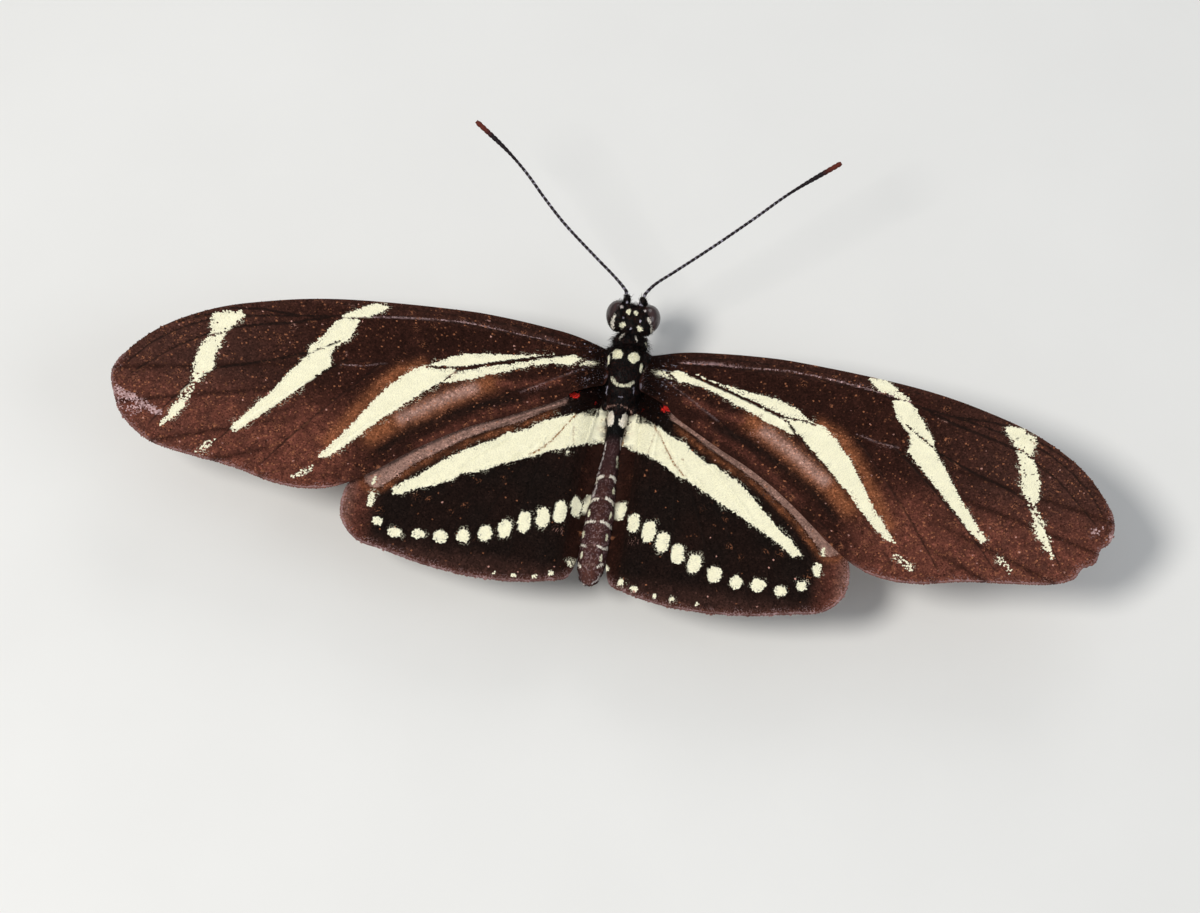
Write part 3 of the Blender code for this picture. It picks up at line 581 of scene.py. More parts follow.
# Spots: place, width and height
HIND_SPOTS = {
    "left": (
        (1.45, -4.4, 0.7, 1.6), (2.45, -4.85, 0.9, 1.6), (3.7, -5.45, 1.1, 1.9), (5.1, -6.1, 1.1, 1.7),
        (6.6, -6.8, 1.1, 1.8), (8.15, -7.55, 1.1, 1.5), (9.75, -8.2, 1.2, 1.3), (11.6, -8.7, 1.1, 1.1),
        (13.5, -9.05, 1.2, 1.1), (15.4, -9.1, 1.1, 0.8), (17.45, -9.25, 1.1, 0.8), (19.0, -8.5, 0.9, 0.7),
        (19.8, -6.8, 0.6, 1.3), (19.8, -5.2, 0.3, 0.8), (2.3, -9.7, 0.4, 0.5), (3.7, -10.75, 0.5, 0.45),
        (5.1, -11.2, 0.5, 0.4), (6.85, -11.4, 0.5, 0.35), (8.5, -11.4, 0.35, 0.3), (3.8, -0.3, 0.25, 0.25),
    ),
    "right": (
        (1.5, -4.65, 0.7, 1.6), (2.65, -5.45, 0.9, 1.6), (4.05, -6.0, 1.1, 1.8), (5.35, -6.7, 1.1, 1.7),
        (6.75, -7.5, 1.1, 1.7), (8.25, -8.15, 1.1, 1.5), (10.1, -8.75, 1.2, 1.3), (12.0, -9.2, 1.1, 1.1),
        (13.9, -9.15, 1.2, 1.1), (15.9, -9.35, 1.1, 0.8), (17.6, -8.7, 0.9, 0.8), (18.7, -7.1, 0.6, 1.3),
        (19.0, -5.5, 0.3, 0.8), (0.95, -9.7, 0.4, 0.5), (2.35, -10.6, 0.5, 0.45), (3.5, -11.0, 0.5, 0.4),
        (5.3, -11.35, 0.5, 0.35), (6.8, -11.4, 0.35, 0.3), (9.0, -11.5, 0.3, 0.3),
    ),
}
RED_SPOTS = ((3.9, 4.55, 0.8, 0.6), (2.1, 4.25, 0.3, 0.25))
FRICTION_STRIP = (
    (4.7, 3.85), (6.5, 3.0), (8.05, 2.05), (10.4, 0.95), (12.7, -0.22), (14.8, -1.65), (17.2, -3.25),
    (19.5, -4.8),
)
FRICTION_HALF_WIDTH = 0.34


# Body markings, read in the same frame: place, width, height and colour name
BODY_SPOTS = (
    (-0.45, 12.33, 0.42, 0.42, "cream"), (0.18, 12.3, 0.42, 0.38, "cream"),
    (-0.8, 11.15, 0.48, 0.52, "cream"), (0.7, 11.05, 0.48, 0.52, "cream"),
    (-1.1, 12.65, 0.22, 0.3, "white"), (0.95, 12.6, 0.2, 0.25, "white"),
    (-0.7, 13.1, 0.18, 0.18, "frost"), (0.5, 13.05, 0.3, 0.14, "frost"),
    (-0.8, 11.75, 0.2, 0.15, "frost"), (0.65, 11.75, 0.15, 0.2, "frost"), (-0.05, 10.95, 0.15, 0.2, "frost"),
    (-0.85, 8.6, 0.92, 0.82, "cream"), (0.6, 8.5, 0.95, 0.9, "cream"),
    (-1.52, 8.0, 0.22, 0.9, "cream"), (1.32, 7.75, 0.25, 0.85, "cream"),
    (-0.66, 3.1, 0.72, 1.25, "snow"), (0.46, 2.85, 0.72, 0.85, "snow"), (0.62, 3.3, 0.55, 0.85, "snow"),
    (-0.05, 5.05, 0.35, 0.12, "frost"),
)
BODY_STREAKS = (
    (((-1.6, 11.85), (-1.74, 11.3), (-1.68, 10.8)), 0.15, "snow"),
    (((1.36, 12.0), (1.7, 11.5), (1.8, 10.9)), 0.15, "snow"),
    (((-0.53, 10.4), (-0.85, 9.95)), 0.075, "snow"),
    (((0.42, 10.35), (0.62, 9.95)), 0.075, "snow"),
    (((-1.45, 10.1), (-1.75, 9.75)), 0.07, "cream"),
    (((1.35, 9.9), (1.7, 9.5)), 0.07, "cream"),
    (((-1.02, 6.5), (-0.7, 6.15), (-0.05, 5.98), (0.5, 6.15), (0.82, 6.45)), 0.14, "cream"),
    (((-1.3, 5.75), (-1.32, 5.1)), 0.05, "frost"),
    (((0.95, 6.0), (1.05, 5.3)), 0.05, "frost"),
    (((-1.2, 3.6), (-1.05, 4.05), (-0.15, 4.4), (0.85, 4.15), (1.15, 3.8)), 0.05, "dusk"),
    (((-0.7, 1.0), (-0.72, 0.4)), 0.05, "white"),
    (((-0.72, 0.1), (-0.78, -0.5)), 0.08, "white"),
    (((-0.82, -0.7), (-0.9, -1.3)), 0.045, "white"),
    (((-0.93, -1.6), (-1.0, -2.3)), 0.07, "white"),
    (((-0.95, -2.75), (-1.04, -3.4), (-1.15, -3.8)), 0.075, "white"),
    (((0.48, 1.6), (0.55, 1.0), (0.66, 0.2)), 0.05, "white"),
    (((0.68, 0.0), (0.74, -1.1), (0.74, -1.9)), 0.04, "white"),
    (((0.42, -0.1), (0.52, -0.95)), 0.085, "cream"),
    (((0.74, -2.5), (0.8, -3.6)), 0.04, "white"),
    (((-1.45, -10.3), (-1.4, -10.8), (-1.15, -11.2), (-0.7, -11.3)), 0.06, "white"),
    (((-0.1, -11.1), (0.3, -10.8), (0.42, -10.2)), 0.06, "white"),
)
# White bars of the abdomen's rings
RING_BARS = (
    ((-1.05, -2.55), (-0.94, -2.12), (-0.52, -1.9)), ((0.14, -1.83), (0.46, -1.97), (0.7, -2.35)),
    ((-1.32, -4.35), (-1.05, -4.0), (-0.72, -3.85)), ((0.02, -3.74), (0.46, -3.88), (0.86, -4.35)),
    ((-1.55, -6.2), (-1.3, -5.95), (-0.72, -5.8)), ((-0.08, -5.77), (0.46, -5.9), (0.88, -6.25)),
    ((-1.6, -7.95), (-1.2, -8.02)), ((-0.03, -7.86), (0.3, -8.0), (0.68, -7.95)),
    ((-1.6, -9.6), (-1.32, -9.8)), ((0.15, -9.62), (0.48, -9.35)),
)
RING_HALF_WIDTH = 0.125
RING_ARCS = ((-1.85, 0.95), (-3.75, 1.1), (-5.75, 1.25), (-7.85, 1.3), (-9.5, 1.2))
# Cream dashes between the rings: place
DASHES = (
    (0.53, -3.05), (-1.235, -5.17), (0.6, -5.13), (-1.43, -7.06), (0.54, -7.0), (-1.36, -8.84), (0.33, -8.89),
)
DASH_SIZE = (0.21, 0.62)

# Wing sheets: how far apart the points of the rim, the veins and the fill are
RIM_STEP = 0.3
VEIN_STEP = 0.4
VEIN_REACH = 0.09
FILL_STEP = 0.55
FILL_REACH = 0.3
ROW_RATIO = 0.87
RIM_CLEARANCE = 0.12
SCALLOP_DEPTH = 0.11
FOLD_HALF_WIDTH = 0.22
FOLD_HEIGHTS = {"forewing": 0.14, "hindwing": 0.08}
UNDER_RELIEF = 0.6

# Scales and hair
SCALE_CLEARANCE = 0.13
# Painted shade on each scale's corners: darker at the root and underneath, where its neighbours cover it, a
# little lighter at the lifted tip
SCALE_SHADE = (0.75, 0.75, 1.06, 1.06, 0.8)
PATCH_SIZE = 0.003
HAIR_THICKNESS = 0.02
HAIR_TIP = 0.35
ROOT_HAIR_TRIES = 5200
BRIGHT_HAIR_SHARE = 0.045
HAIR_LENGTHS = (
    (-11.0, 0.3), (3.0, 0.25), (4.5, 0.4), (6.0, 0.5), (9.5, 0.45), (10.4, 0.75), (11.4, 0.75),
    (12.4, 0.28), (13.8, 0.25), (14.3, 0.55), (14.8, 0.5), (15.2, 0.2), (16.0, 0.15),
)

# Body: the skin's voxel and bumps, the abdomen's seams, the sockets and the larger right eye
SKIN_VOXEL = 0.09
SKIN_BUMP = 0.05
SEAM_DEPTH = 0.07
SEAM_HALF_WIDTH = 0.16
SOCKET_DROP = 0.04
SOCKET_SCALE = 1.055
RIGHT_EYE_STRETCH = (1.08, 1.03, 1.0)
RIGHT_EYE_SHIFT = (0.07, 0.0, 0.0)
BODY_LENGTH = 27.0

# Feelers, tongue and legs: radii by share of the length
FEELER_RADII = ((0.0, 1.15), (0.1, 1.0), (0.75, 1.0), (0.93, 1.7), (0.985, 1.75), (1.0, 1.35))
RING_LENGTH = 0.46
COIL_STEPS = 26
TONGUE_RADII = (0.16, 0.1)
TONGUE_HALF_GAP = 0.085
PALP_RADII = ((0.0, 0.22), (0.3, 0.3), (0.6, 0.27), (0.75, 0.2), (1.0, 0.1))
THIGH_RADII = ((0.0, 0.2), (0.15, 0.32), (0.6, 0.33), (0.9, 0.22), (1.0, 0.2))
SHIN_RADII = ((0.0, 0.18), (0.2, 0.23), (0.85, 0.2), (1.0, 0.17))
FORELEG_RADII = ((0.0, 0.26), (0.25, 0.24), (0.45, 0.18), (0.6, 0.2), (0.9, 0.13), (1.0, 0.06))
FOOT_RADIUS = 0.165
FOOT_HEIGHT = 0.17
FOOT_JOINTS = 5.0

# Stage: name, place, width, power and colour of each light, in metres and watts
LIGHTS = (
    ("key_light", (-0.2, -0.16, 0.44), 0.16, 1.75, (1.0, 0.97, 0.93)),
    ("fill_light", (0.4, -0.1, 0.35), 0.35, 0.5, (0.93, 0.96, 1.0)),
    ("back_light", (0.05, 0.45, 0.35), 0.3, 0.4, (1.0, 1.0, 1.0)),
)
STUDIO_COLOUR = (0.9, 0.94, 1.0, 1.0)
STUDIO_STRENGTH = 0.36
FLOOR_WIDTH = 4.0
FLOOR_COLOURS = ((0.74, 0.74, 0.72, 1.0), (0.79, 0.79, 0.77, 1.0))

# Wings as surfaces
def fore_height(x, y):
    bow = CAMBER * (1.0 - ((y - CAMBER_MIDDLE) / CAMBER_REACH) ** 2)
    return FORE_PLANE + FORE_SETTLE + DIHEDRAL * x + bow


def hind_height(x, y):
    """As the forewing, one storey lower, and dipping beside the abdomen."""
    share = (GUTTER_OUTER - x) / (GUTTER_OUTER - GUTTER_INNER)
    dip = table_value(GUTTER_DEPTHS, y) * ease(share)
    return fore_height(x, y) - FORE_PLANE - FORE_SETTLE + HIND_PLANE + HIND_SETTLE - dip


class Wing:
    """One wing's outline, veins and surface, with x away from the body."""

    def __init__(self, kind, label):
        self.kind = kind
        self.label = label
        self.side = SIDES[label]
        fore = kind == "forewing"
        self.height = fore_height if fore else hind_height
        rim = FORE_COSTA + FORE_MARGIN[label] + FORE_HEM if fore else HIND_RIM
        self.rim = smooth_path(rim, RIM_STEP, closed=True)
        veins = FORE_VEINS if fore else HIND_VEINS
        self.veins = [smooth_path(line, VEIN_STEP) for line in veins.values()]
        self.tips = np.array([line[-1] for line in self.veins])
        self.faint = [name == "cell_end" for name in veins]
        self.source = np.array((-5.0, 10.0) if fore else (0.5, 9.0))
        self.fold_noise = Mottle(3 if fore else 4, 1.0)
        size = bpy.context.scene.longwing_sizes
        self.vein_half = size.vein_width / MM / 2
        self.vein_rise = size.vein_rise / MM
        self.half_thickness = size.membrane / MM / 2
        inward = self.source - self.rim
        inward /= np.linalg.norm(inward, axis=1)[:, None]
        scallop = SCALLOP_DEPTH * self.margin(self.rim) * self.between(self.rim)
        self.rim = self.rim + inward * scallop[:, None]

    def margin(self, points):
        """How much a place belongs to the outer margin, and not to the costa, the hem or the root."""
        x, y = points[:, 0], points[:, 1]
        if self.kind == "forewing":
            return ease((x - 21.0) / 3.0) * ease((2.6 - y) / 1.5)
        return ease((x - 1.3) / 0.8) * ease((-5.0 - y) / 2.5)

    def fold_line(self, points):
        """Near 1 on the folds that run out to the margin midway between the veins."""
        ends = self.tips[self.margin(self.tips) > 0.4]
        if len(ends) < 2:
            return np.zeros(len(points))
        order = np.argsort(np.arctan2(ends[:, 1] - self.source[1], ends[:, 0] - self.source[0]))
        turns = np.arctan2(ends[order, 1] - self.source[1], ends[order, 0] - self.source[0])
        here = np.arctan2(points[:, 1] - self.source[1], points[:, 0] - self.source[0])
        middles = (turns[1:] + turns[:-1]) / 2
        gap = np.abs(here[:, None] - middles[None, :]).min(axis=1)
        reach = np.linalg.norm(points - self.source, axis=1)
        return np.exp(-((gap * reach / FOLD_HALF_WIDTH) ** 2))

    def between(self, points):
        """From 0 at a vein's end to 1 halfway to the next."""
        gaps = points[:, None, :] - self.tips[None, :, :]
        return ease(np.sqrt((gaps * gaps).sum(axis=2)).min(axis=1) / 1.1)

    def folds(self, points):
        """Small pleats that run out from the wing's root."""
        out = points - self.source
        reach = np.linalg.norm(out, axis=1)
        turn = np.arctan2(out[:, 1], out[:, 0])
        pleats = self.fold_noise(np.column_stack((reach / 7.0, turn * 26.0))) - 0.5
        return FOLD_HEIGHTS[self.kind] * pleats * ease((reach - 7.0) / 6.0)

    def middle(self, points):
        return self.height(points[:, 0], points[:, 1]) + self.folds(points)

    def relief(self, points):
        """How far the veins stand out of the membrane."""
        relief = np.zeros(len(points))
        for path, faint in zip(self.veins, self.faint):
            distance, share = distance_to(points, path)
            half = self.vein_half * (1.0 - 0.45 * share)
            rise = self.vein_rise * (0.15 if faint else 1.0 - 0.5 * share)
            relief = np.maximum(relief, rise * ease(1.0 - distance / half))
        return relief

    def normals(self, points):
        step = 0.02
        east = self.middle(points + (step, 0.0)) - self.middle(points - (step, 0.0))
        north = self.middle(points + (0.0, step)) - self.middle(points - (0.0, step))
        normals = np.column_stack((-east / (2 * step), -north / (2 * step), np.ones(len(points))))
        return normals / np.linalg.norm(normals, axis=1)[:, None]

    def face(self, points, top, extra=0.0):
        """Places on the upper or lower face, and the direction out of it."""
        normals = self.normals(points)
        rise = self.half_thickness + self.relief(points) * (1.0 if top else UNDER_RELIEF) + extra
        places = np.column_stack((points, self.middle(points)))
        if not top:
            normals = -normals
        return places + normals * rise[:, None], normals

    def mirrored(self, places):
        return places * (self.side, 1.0, 1.0)

    def sheet_plan(self):
        """Points and triangles of the wing seen from above, closer together along the veins."""
        kept = [tuple(point) for point in self.rim]
        rim_count = len(kept)
        candidates = []
        for path in self.veins:
            along = np.gradient(path, axis=0)
            along /= np.linalg.norm(along, axis=1)[:, None]
            across = np.column_stack((-along[:, 1], along[:, 0]))
            for share in (0.0, -0.5, 0.5, -1.0, 1.0):
                candidates.append((path + across * share * self.vein_half, VEIN_REACH))
        low, high = self.rim.min(axis=0), self.rim.max(axis=0)
        columns = np.arange(low[0], high[0], FILL_STEP)
        rows = np.arange(low[1], high[1], FILL_STEP * ROW_RATIO)
        grid = np.array([(x + FILL_STEP / 2 * (j % 2), y) for j, y in enumerate(rows) for x in columns])
        candidates.append((grid, FILL_REACH))
        buckets = {}
        cell = FILL_REACH

        def near(point, reach):
            i, j = int(point[0] // cell), int(point[1] // cell)
            for a in (i - 1, i, i + 1):
                for b in (j - 1, j, j + 1):
                    for other in buckets.get((a, b), ()):
                        if (other[0] - point[0]) ** 2 + (other[1] - point[1]) ** 2 < reach * reach:
                            return True
            return False

        def keep(point):
            buckets.setdefault((int(point[0] // cell), int(point[1] // cell)), []).append(point)

        for point in kept:
            keep(point)
        closed = np.vstack((self.rim, self.rim[:1]))
        for line, reach in candidates:
            clear = inside(line, self.rim)
            line = line[clear]
            line = line[distance_to(line, closed)[0] > RIM_CLEARANCE]
            for point in line:
                if not near(point, reach):
                    kept.append(tuple(point))
                    keep(tuple(point))
        edges = [(i, (i + 1) % rim_count) for i in range(rim_count)]
        places = [Vector(point) for point in kept]
        flat, _, triangles, _, _, _ = delaunay_2d_cdt(places, edges, [], 1, 1e-5, False)
        used = sorted({i for triangle in triangles for i in triangle})
        place = {old: new for new, old in enumerate(used)}
        plan = np.array([tuple(flat[i]) for i in used])
        triangles = np.array([[place[i] for i in triangle] for triangle in triangles])
        return plan, triangles[inside(plan[triangles].mean(axis=1), self.rim)]

    def on_reading(self, outline):
        """A marking's readings as (x, y) on this wing, x away from the body."""
        return np.array(on_wing(outline, self.side, self.height))


def palette():
    """The colours of the panel, ready for a material."""
    colours = bpy.context.scene.longwing_colours
    return {name: linear(getattr(colours, name)) for name in LongwingColours.__annotations__}


def blend(colours, other, strength):
    return colours + (other - colours) * np.clip(strength, 0.0, 1.0)[:, None]


def trace(colours, points, path, half, colour, strength):
    """A soft line of another colour."""
    distance, _ = distance_to(points, path)
    return blend(colours, colour, np.minimum(strength, 1.0) * np.exp(-((distance / half) ** 2)))


def forewing_ground(wing, points, named, grain, cloud):
    x, y = points[:, 0], points[:, 1]
    far = ease((x - 22.0) / 16.0)
    low = ease((2.5 - y) / 5.5) * ease((x - 19.0) / 5.0)
    colours = np.tile(named["brown"], (len(points), 1))
    colours = blend(colours, named["umber"], 0.75 * far + 0.3 * ease((y - 9.3) / 0.5) * ease((x - 4.0) / 6.0))
    colours = blend(colours, named["rust"], 0.7 * low * (0.35 + grain) + 0.25 * cloud * grain)
    for path, half, name, strength in FORE_TRACES:
        broken = 0.35 + 0.65 * cloud if name == "black" else 0.5 + 0.8 * grain
        colours = trace(colours, points, wing.on_reading(path), half, named[name], strength * broken)
    return colours


def hindwing_ground(wing, points, named, grain, cloud):
    x, y = points[:, 0], points[:, 1]
    colours = np.tile(named["black"], (len(points), 1))
    colours = blend(colours, named["brown"], 0.5 * cloud + ease((3.0 - x) / 1.5))
    colours = blend(colours, named["umber"], 0.8 * ease((-9.8 - y) / 2.2) * (0.4 + 0.8 * grain))
    colours = blend(colours, named["rust"], 0.85 * ease((x - 18.3) / 2.4) * (0.45 + 0.7 * grain))
    colours = blend(colours, named["dusk"], 0.4 * ease((x - 20.2) / 1.8) * (0.4 + 0.8 * grain))
    strip = wing.on_reading(FRICTION_STRIP)
    distance, _ = distance_to(points, strip)
    above = y > np.interp(x, strip[:, 0], strip[:, 1])
    below = np.where(above, -distance, distance)
    half = FRICTION_HALF_WIDTH * (1.0 + 2.4 * ease((x - 15.5) / 5.0))
    lit = np.exp(-(((below - half - 0.3) / 0.3) ** 2)) * ease((x - 4.6) / 1.2)
    colours = blend(colours, named["bronze"], 0.8 * lit * (0.05 + 1.1 * grain))
    on_strip = ease((half - below) / 0.1) * ease((x - 4.3) / 0.4)
    colours = blend(colours, named["dusk"], 0.95 * on_strip * (0.75 + 0.3 * grain))
    groove = np.exp(-(((below - half + 0.05) / 0.06) ** 2)) * ease((x - 5.0) / 1.0)
    return blend(colours, named["brown"], 0.6 * groove * ease((19.0 - x) / 3.0))


def wing_colours(wing, points, top, rng):
    """The colour of the wing at each point, from its markings."""
    named = palette()
    fore = wing.kind == "forewing"
    count = len(points)
    worn_edge = ease((points[:, 0] - 31.0) / 2.0) if fore else np.zeros(count)
    shake = (Mottle(21, 0.3)(points) - 0.5) * 0.12
    seen = points + shake[:, None] + rng.normal(size=(count, 2)) * (0.012 + 0.06 * worn_edge)[:, None]
    cloud = Mottle(22, 2.2)(points)
    grain = Mottle(23, 0.4)(points)
    chance = rng.random(count)
    spark = rng.random(count)
    ground = forewing_ground if fore else hindwing_ground
    colours = ground(wing, points, named, grain, cloud)
    glow = colours[:, 0]
    colours = colours * np.exp(rng.normal(size=count) * 0.3)[:, None]
    speckled = 0.03 + 0.9 * np.clip(glow - 0.02, 0.0, 0.16)
    if not fore:
        speckled = speckled * 0.2
    colours = blend(colours, named["fleck"], (chance < speckled) * (0.1 + 0.55 * spark**2))
    glints = (chance > 0.9975) & (spark > (0.2 if fore else 0.8))
    colours = blend(colours, named["pink"], glints * (0.3 + 0.6 * spark**2))
    to_rim = distance_to(points, np.vstack((wing.rim, wing.rim[:1])))[0]
    edge = wing.margin(points) * np.exp(-((to_rim / 0.3) ** 2))
    line = wing.margin(points) * np.exp(-((to_rim / 0.09) ** 2))
    pale = line * (0.1 + 0.9 * wing.between(points)) * (0.5 + 0.7 * grain)
    colours = blend(colours, named["rust"], 0.45 * edge)
    colours = blend(colours, named["rim"], (0.6 if fore else 0.75) * pale)
    if fore:
        # Painted shade: darker brown along the folds that run out to the margin between the veins
        fold = ease((points[:, 0] - 24.0) / 8.0) * wing.fold_line(points) * ease((9.0 - points[:, 1]) / 3.0)
        colours = blend(colours, named["brown"], 0.75 * fold)
    vein = wing.relief(points) / wing.vein_rise
    outer = ease((points[:, 0] - 22.0) / 6.0) if fore else 0.0
    colours = blend(colours, named["black"], (0.45 + 0.3 * outer) * ease(vein * (1.0 + outer)))
    if fore:
        cream = np.zeros(count, bool)
        for outline in FORE_CREAM:
            cream |= inside(seen, wing.on_reading(outline))
        for path, half in FORE_LINES:
            cream &= distance_to(seen, wing.on_reading(path))[0] > half
        for path, half in FORE_FLECKS:
            cream |= (distance_to(seen, wing.on_reading(path))[0] < half) & (chance < 0.45)
        for outline, share in FORE_WORN[wing.label]:
            rubbed = inside(seen, wing.on_reading(outline)) & (chance < share)
            colours = blend(colours, named["worn"], rubbed * (0.25 + 0.75 * spark))
        cream &= chance < 1.0 - 0.025 * worn_edge
        root = ease((4.6 - points[:, 0]) / 2.0) * (to_rim > 0.25)
        colours = blend(colours, named["frost"], 0.8 * (spark > 1.0 - 0.06 * root))
    else:
        cream = inside(seen, wing.on_reading(HIND_BAND[wing.label]))
        for u, v, width, tall in HIND_SPOTS[wing.label]:
            centre = wing.on_reading([(u, v)])[0]
            a = (seen[:, 0] - centre[0]) / (width / 2)
            b = (seen[:, 1] - centre[1]) / (tall / 2 * 1.06)
            cream |= np.abs(a) ** 2.4 + np.abs(b) ** 2.4 < 1.0
        red = np.zeros(count, bool)
        for u, v, width, tall in RED_SPOTS:
            centre = wing.on_reading([(u, v)])[0]
            a = (seen[:, 0] - centre[0]) / width * 2
            b = (seen[:, 1] - centre[1]) / tall * 2
            red |= a**2 + b**2 < 1.0
        colours[red] = named["red"]
    light = named["cream"] * (0.95 + 0.07 * grain[:, None]) * (0.96 + 0.06 * spark[:, None])
    if not fore:
        for path, half, strength in HIND_LINES[wing.label]:
            light = trace(light, points, wing.on_reading(path), half, named["ochre"], strength)
    colours = np.where(cream[:, None], light, colours)
    if not top:
        colours = blend(colours, named["bronze"], 0.3 * ~cream)
    return colours


def add_membrane(wing):
    """A thin membrane whose veins stand out of both faces."""
    plan, triangles = wing.sheet_plan()
    upper, _ = wing.face(plan, True)
    lower, _ = wing.face(plan, False)
    count = len(plan)
    sides = np.vstack([triangles[:, [i, (i + 1) % 3]] for i in range(3)])
    keys = {tuple(edge) for edge in sides}
    open_sides = np.array([edge for edge in sorted(keys) if (edge[1], edge[0]) not in keys])
    a, b = open_sides[:, 0], open_sides[:, 1]
    faces = np.vstack((
        triangles, triangles[:, ::-1] + count,
        np.column_stack((a, a + count, b + count)), np.column_stack((a, b + count, b)),
    ))
    if wing.side < 0:
        faces = faces[:, ::-1]
    obj = mesh_object(f"{wing.kind}_{wing.label}_membrane", wing.mirrored(np.vstack((upper, lower))), faces)
    rng = np.random.default_rng(31)
    tops = wing_colours(wing, plan, True, rng)
    unders = wing_colours(wing, plan, False, rng)
    paint(obj, np.vstack((tops, unders)))
    smooth_faces(obj, 50.0)
    return obj


def lay_scales(
    name, roots, normals, lie, lengths, widths, lifts, colours, patch_at, thickness=0.012, tip=1.0,
):
    """One closed scale of six triangles on each root, joined in a mesh, each with its patch in OFBake."""
    lie = lie - normals * np.sum(lie * normals, axis=1)[:, None]
    lie /= np.linalg.norm(lie, axis=1)[:, None]
    across = np.cross(normals, lie)
    sunk = roots - normals * thickness
    half = (widths / 2)[:, None]
    ends = roots + lie * lengths[:, None] + normals * lifts[:, None]
    corners = np.stack((
        sunk - across * half * 0.6, sunk + across * half * 0.6, ends + across * half * tip,
        ends - across * half * tip, (sunk + ends) / 2 - normals * thickness,
    ), axis=1)
    base = np.arange(len(roots))[:, None] * 5
    pattern = np.array(((0, 2, 1), (0, 3, 2), (3, 0, 4), (2, 3, 4), (1, 2, 4), (0, 1, 4)))
    faces = (base[:, :, None] + pattern[None]).reshape(-1, 3)
    obj = mesh_object(name, corners.reshape(-1, 3), faces)
    # Painted shade: each scale darker at its root and underneath, lighter at its tip
    shade = np.array(SCALE_SHADE)
    paint(obj, (colours[:, None, :] * shade[None, :, None]).reshape(-1, 3))
    local = np.array(((-0.3, 0.0), (0.3, 0.0), (0.5, 1.0), (-0.5, 1.0), (0.0, 0.5))) * PATCH_SIZE
    uv = (patch_at[:, None, :] + local[None]).reshape(-1, 2)
    layer = obj.data.uv_layers.new(name="OFBake")
    layer.data.foreach_set("uv", np.ascontiguousarray(uv[faces.ravel()], np.float32).ravel())
    return obj


def row_roots(wing, spacing, rng):
    """Roots in shaken rows over the whole wing."""
    low, high = wing.rim.min(axis=0), wing.rim.max(axis=0)
    columns = np.arange(low[0], high[0], spacing)
    rows = np.arange(low[1], high[1], spacing * ROW_RATIO)
    x, y = np.meshgrid(columns, rows)
    x = x + (np.arange(len(rows)) % 2)[:, None] * spacing / 2
    points = np.column_stack((x.ravel(), y.ravel()))
    points += (rng.random(points.shape) - 0.5) * spacing * 0.6
    return points[inside(points, wing.rim)]


def rim_roots(wing, spacing, rng):
    """Roots of the fringe all round the wing, with the direction out of it."""
    closed = np.vstack((wing.rim, wing.rim[:1]))
    steps = np.diff(closed, axis=0)
    lengths = np.linalg.norm(steps, axis=1)
    ends = np.concatenate(([0.0], np.cumsum(lengths)))
    shaken = rng.random(int(math.ceil(ends[-1] / spacing))) * spacing * 0.5
    places = np.arange(0.0, ends[-1], spacing) + shaken
    places = places[places < ends[-1]]
    piece = np.searchsorted(ends, places, side="right") - 1
    points = closed[piece] + steps[piece] * ((places - ends[piece]) / lengths[piece])[:, None]
    along = steps[piece] / lengths[piece][:, None]
    out = np.column_stack((along[:, 1], -along[:, 0]))
    test = points + out * 0.05
    out = np.where(inside(test, wing.rim)[:, None], -out, out)
    return points, out


def add_wing_scales(wing, top):
    """Rows of scales over one face, with a fringe along the edge."""
    size = bpy.context.scene.longwing_sizes
    seed = 100 + 10 * (wing.kind == "forewing") + 2 * (wing.side > 0) + top
    rng = np.random.default_rng(seed)
    spacing = (size.scale_spacing if top else size.under_spacing) / MM
    plain = row_roots(wing, spacing, rng)
    clear = distance_to(plain, np.vstack((wing.rim, wing.rim[:1])))[0]
    plain = plain[clear > SCALE_CLEARANCE]
    fringe, outward = rim_roots(wing, size.fringe_spacing / MM, rng)
    count, edge = len(plain), len(fringe)
    margin = wing.margin(fringe)
    points = np.vstack((plain, fringe - outward * 0.1))
    roots, normals = wing.face(points, top, -0.004)
    out = points - wing.source
    out /= np.linalg.norm(out, axis=1)[:, None]
    out[count:] = outward * (0.25 + 0.6 * margin)[:, None] + out[count:] * (1.0 - 0.6 * margin)[:, None]
    sway = (rng.random(len(points)) - 0.5) * 0.5
    lie = np.column_stack((
        out[:, 0] * np.cos(sway) - out[:, 1] * np.sin(sway),
        out[:, 0] * np.sin(sway) + out[:, 1] * np.cos(sway),
        np.zeros(len(points)),
    ))
    vary = 0.8 + 0.4 * rng.random(len(points))
    wide = spacing / (size.scale_spacing / MM)
    lengths = np.full(len(points), size.scale_length / MM * wide) * vary
    widths = np.full(len(points), size.scale_width / MM * wide) * vary
    lifts = 0.02 + 0.03 * rng.random(len(points))
    lengths[count:] = size.fringe_length / MM * (0.7 + 0.4 * rng.random(edge)) * (0.5 + 0.5 * margin)
    widths[count:] = size.fringe_spacing / MM * 1.5
    lifts[count:] = (rng.random(edge) - 0.5) * 0.04
    middles = points + lie[:, :2] * (lengths * 0.5)[:, None]
    middles[count:] = points[count:]
    colours = wing_colours(wing, middles, top, rng)
    low, high = wing.rim.min(axis=0), wing.rim.max(axis=0)
    patch_at = 0.02 + 0.95 * (points - low) / (high - low).max()
    roots, normals, lie = (wing.mirrored(array) for array in (roots, normals, lie))
    name = f"{wing.kind}_{wing.label}_scales_{'top' if top else 'under'}"
    return lay_scales(name, roots, normals, lie, lengths, widths, lifts, colours, patch_at)


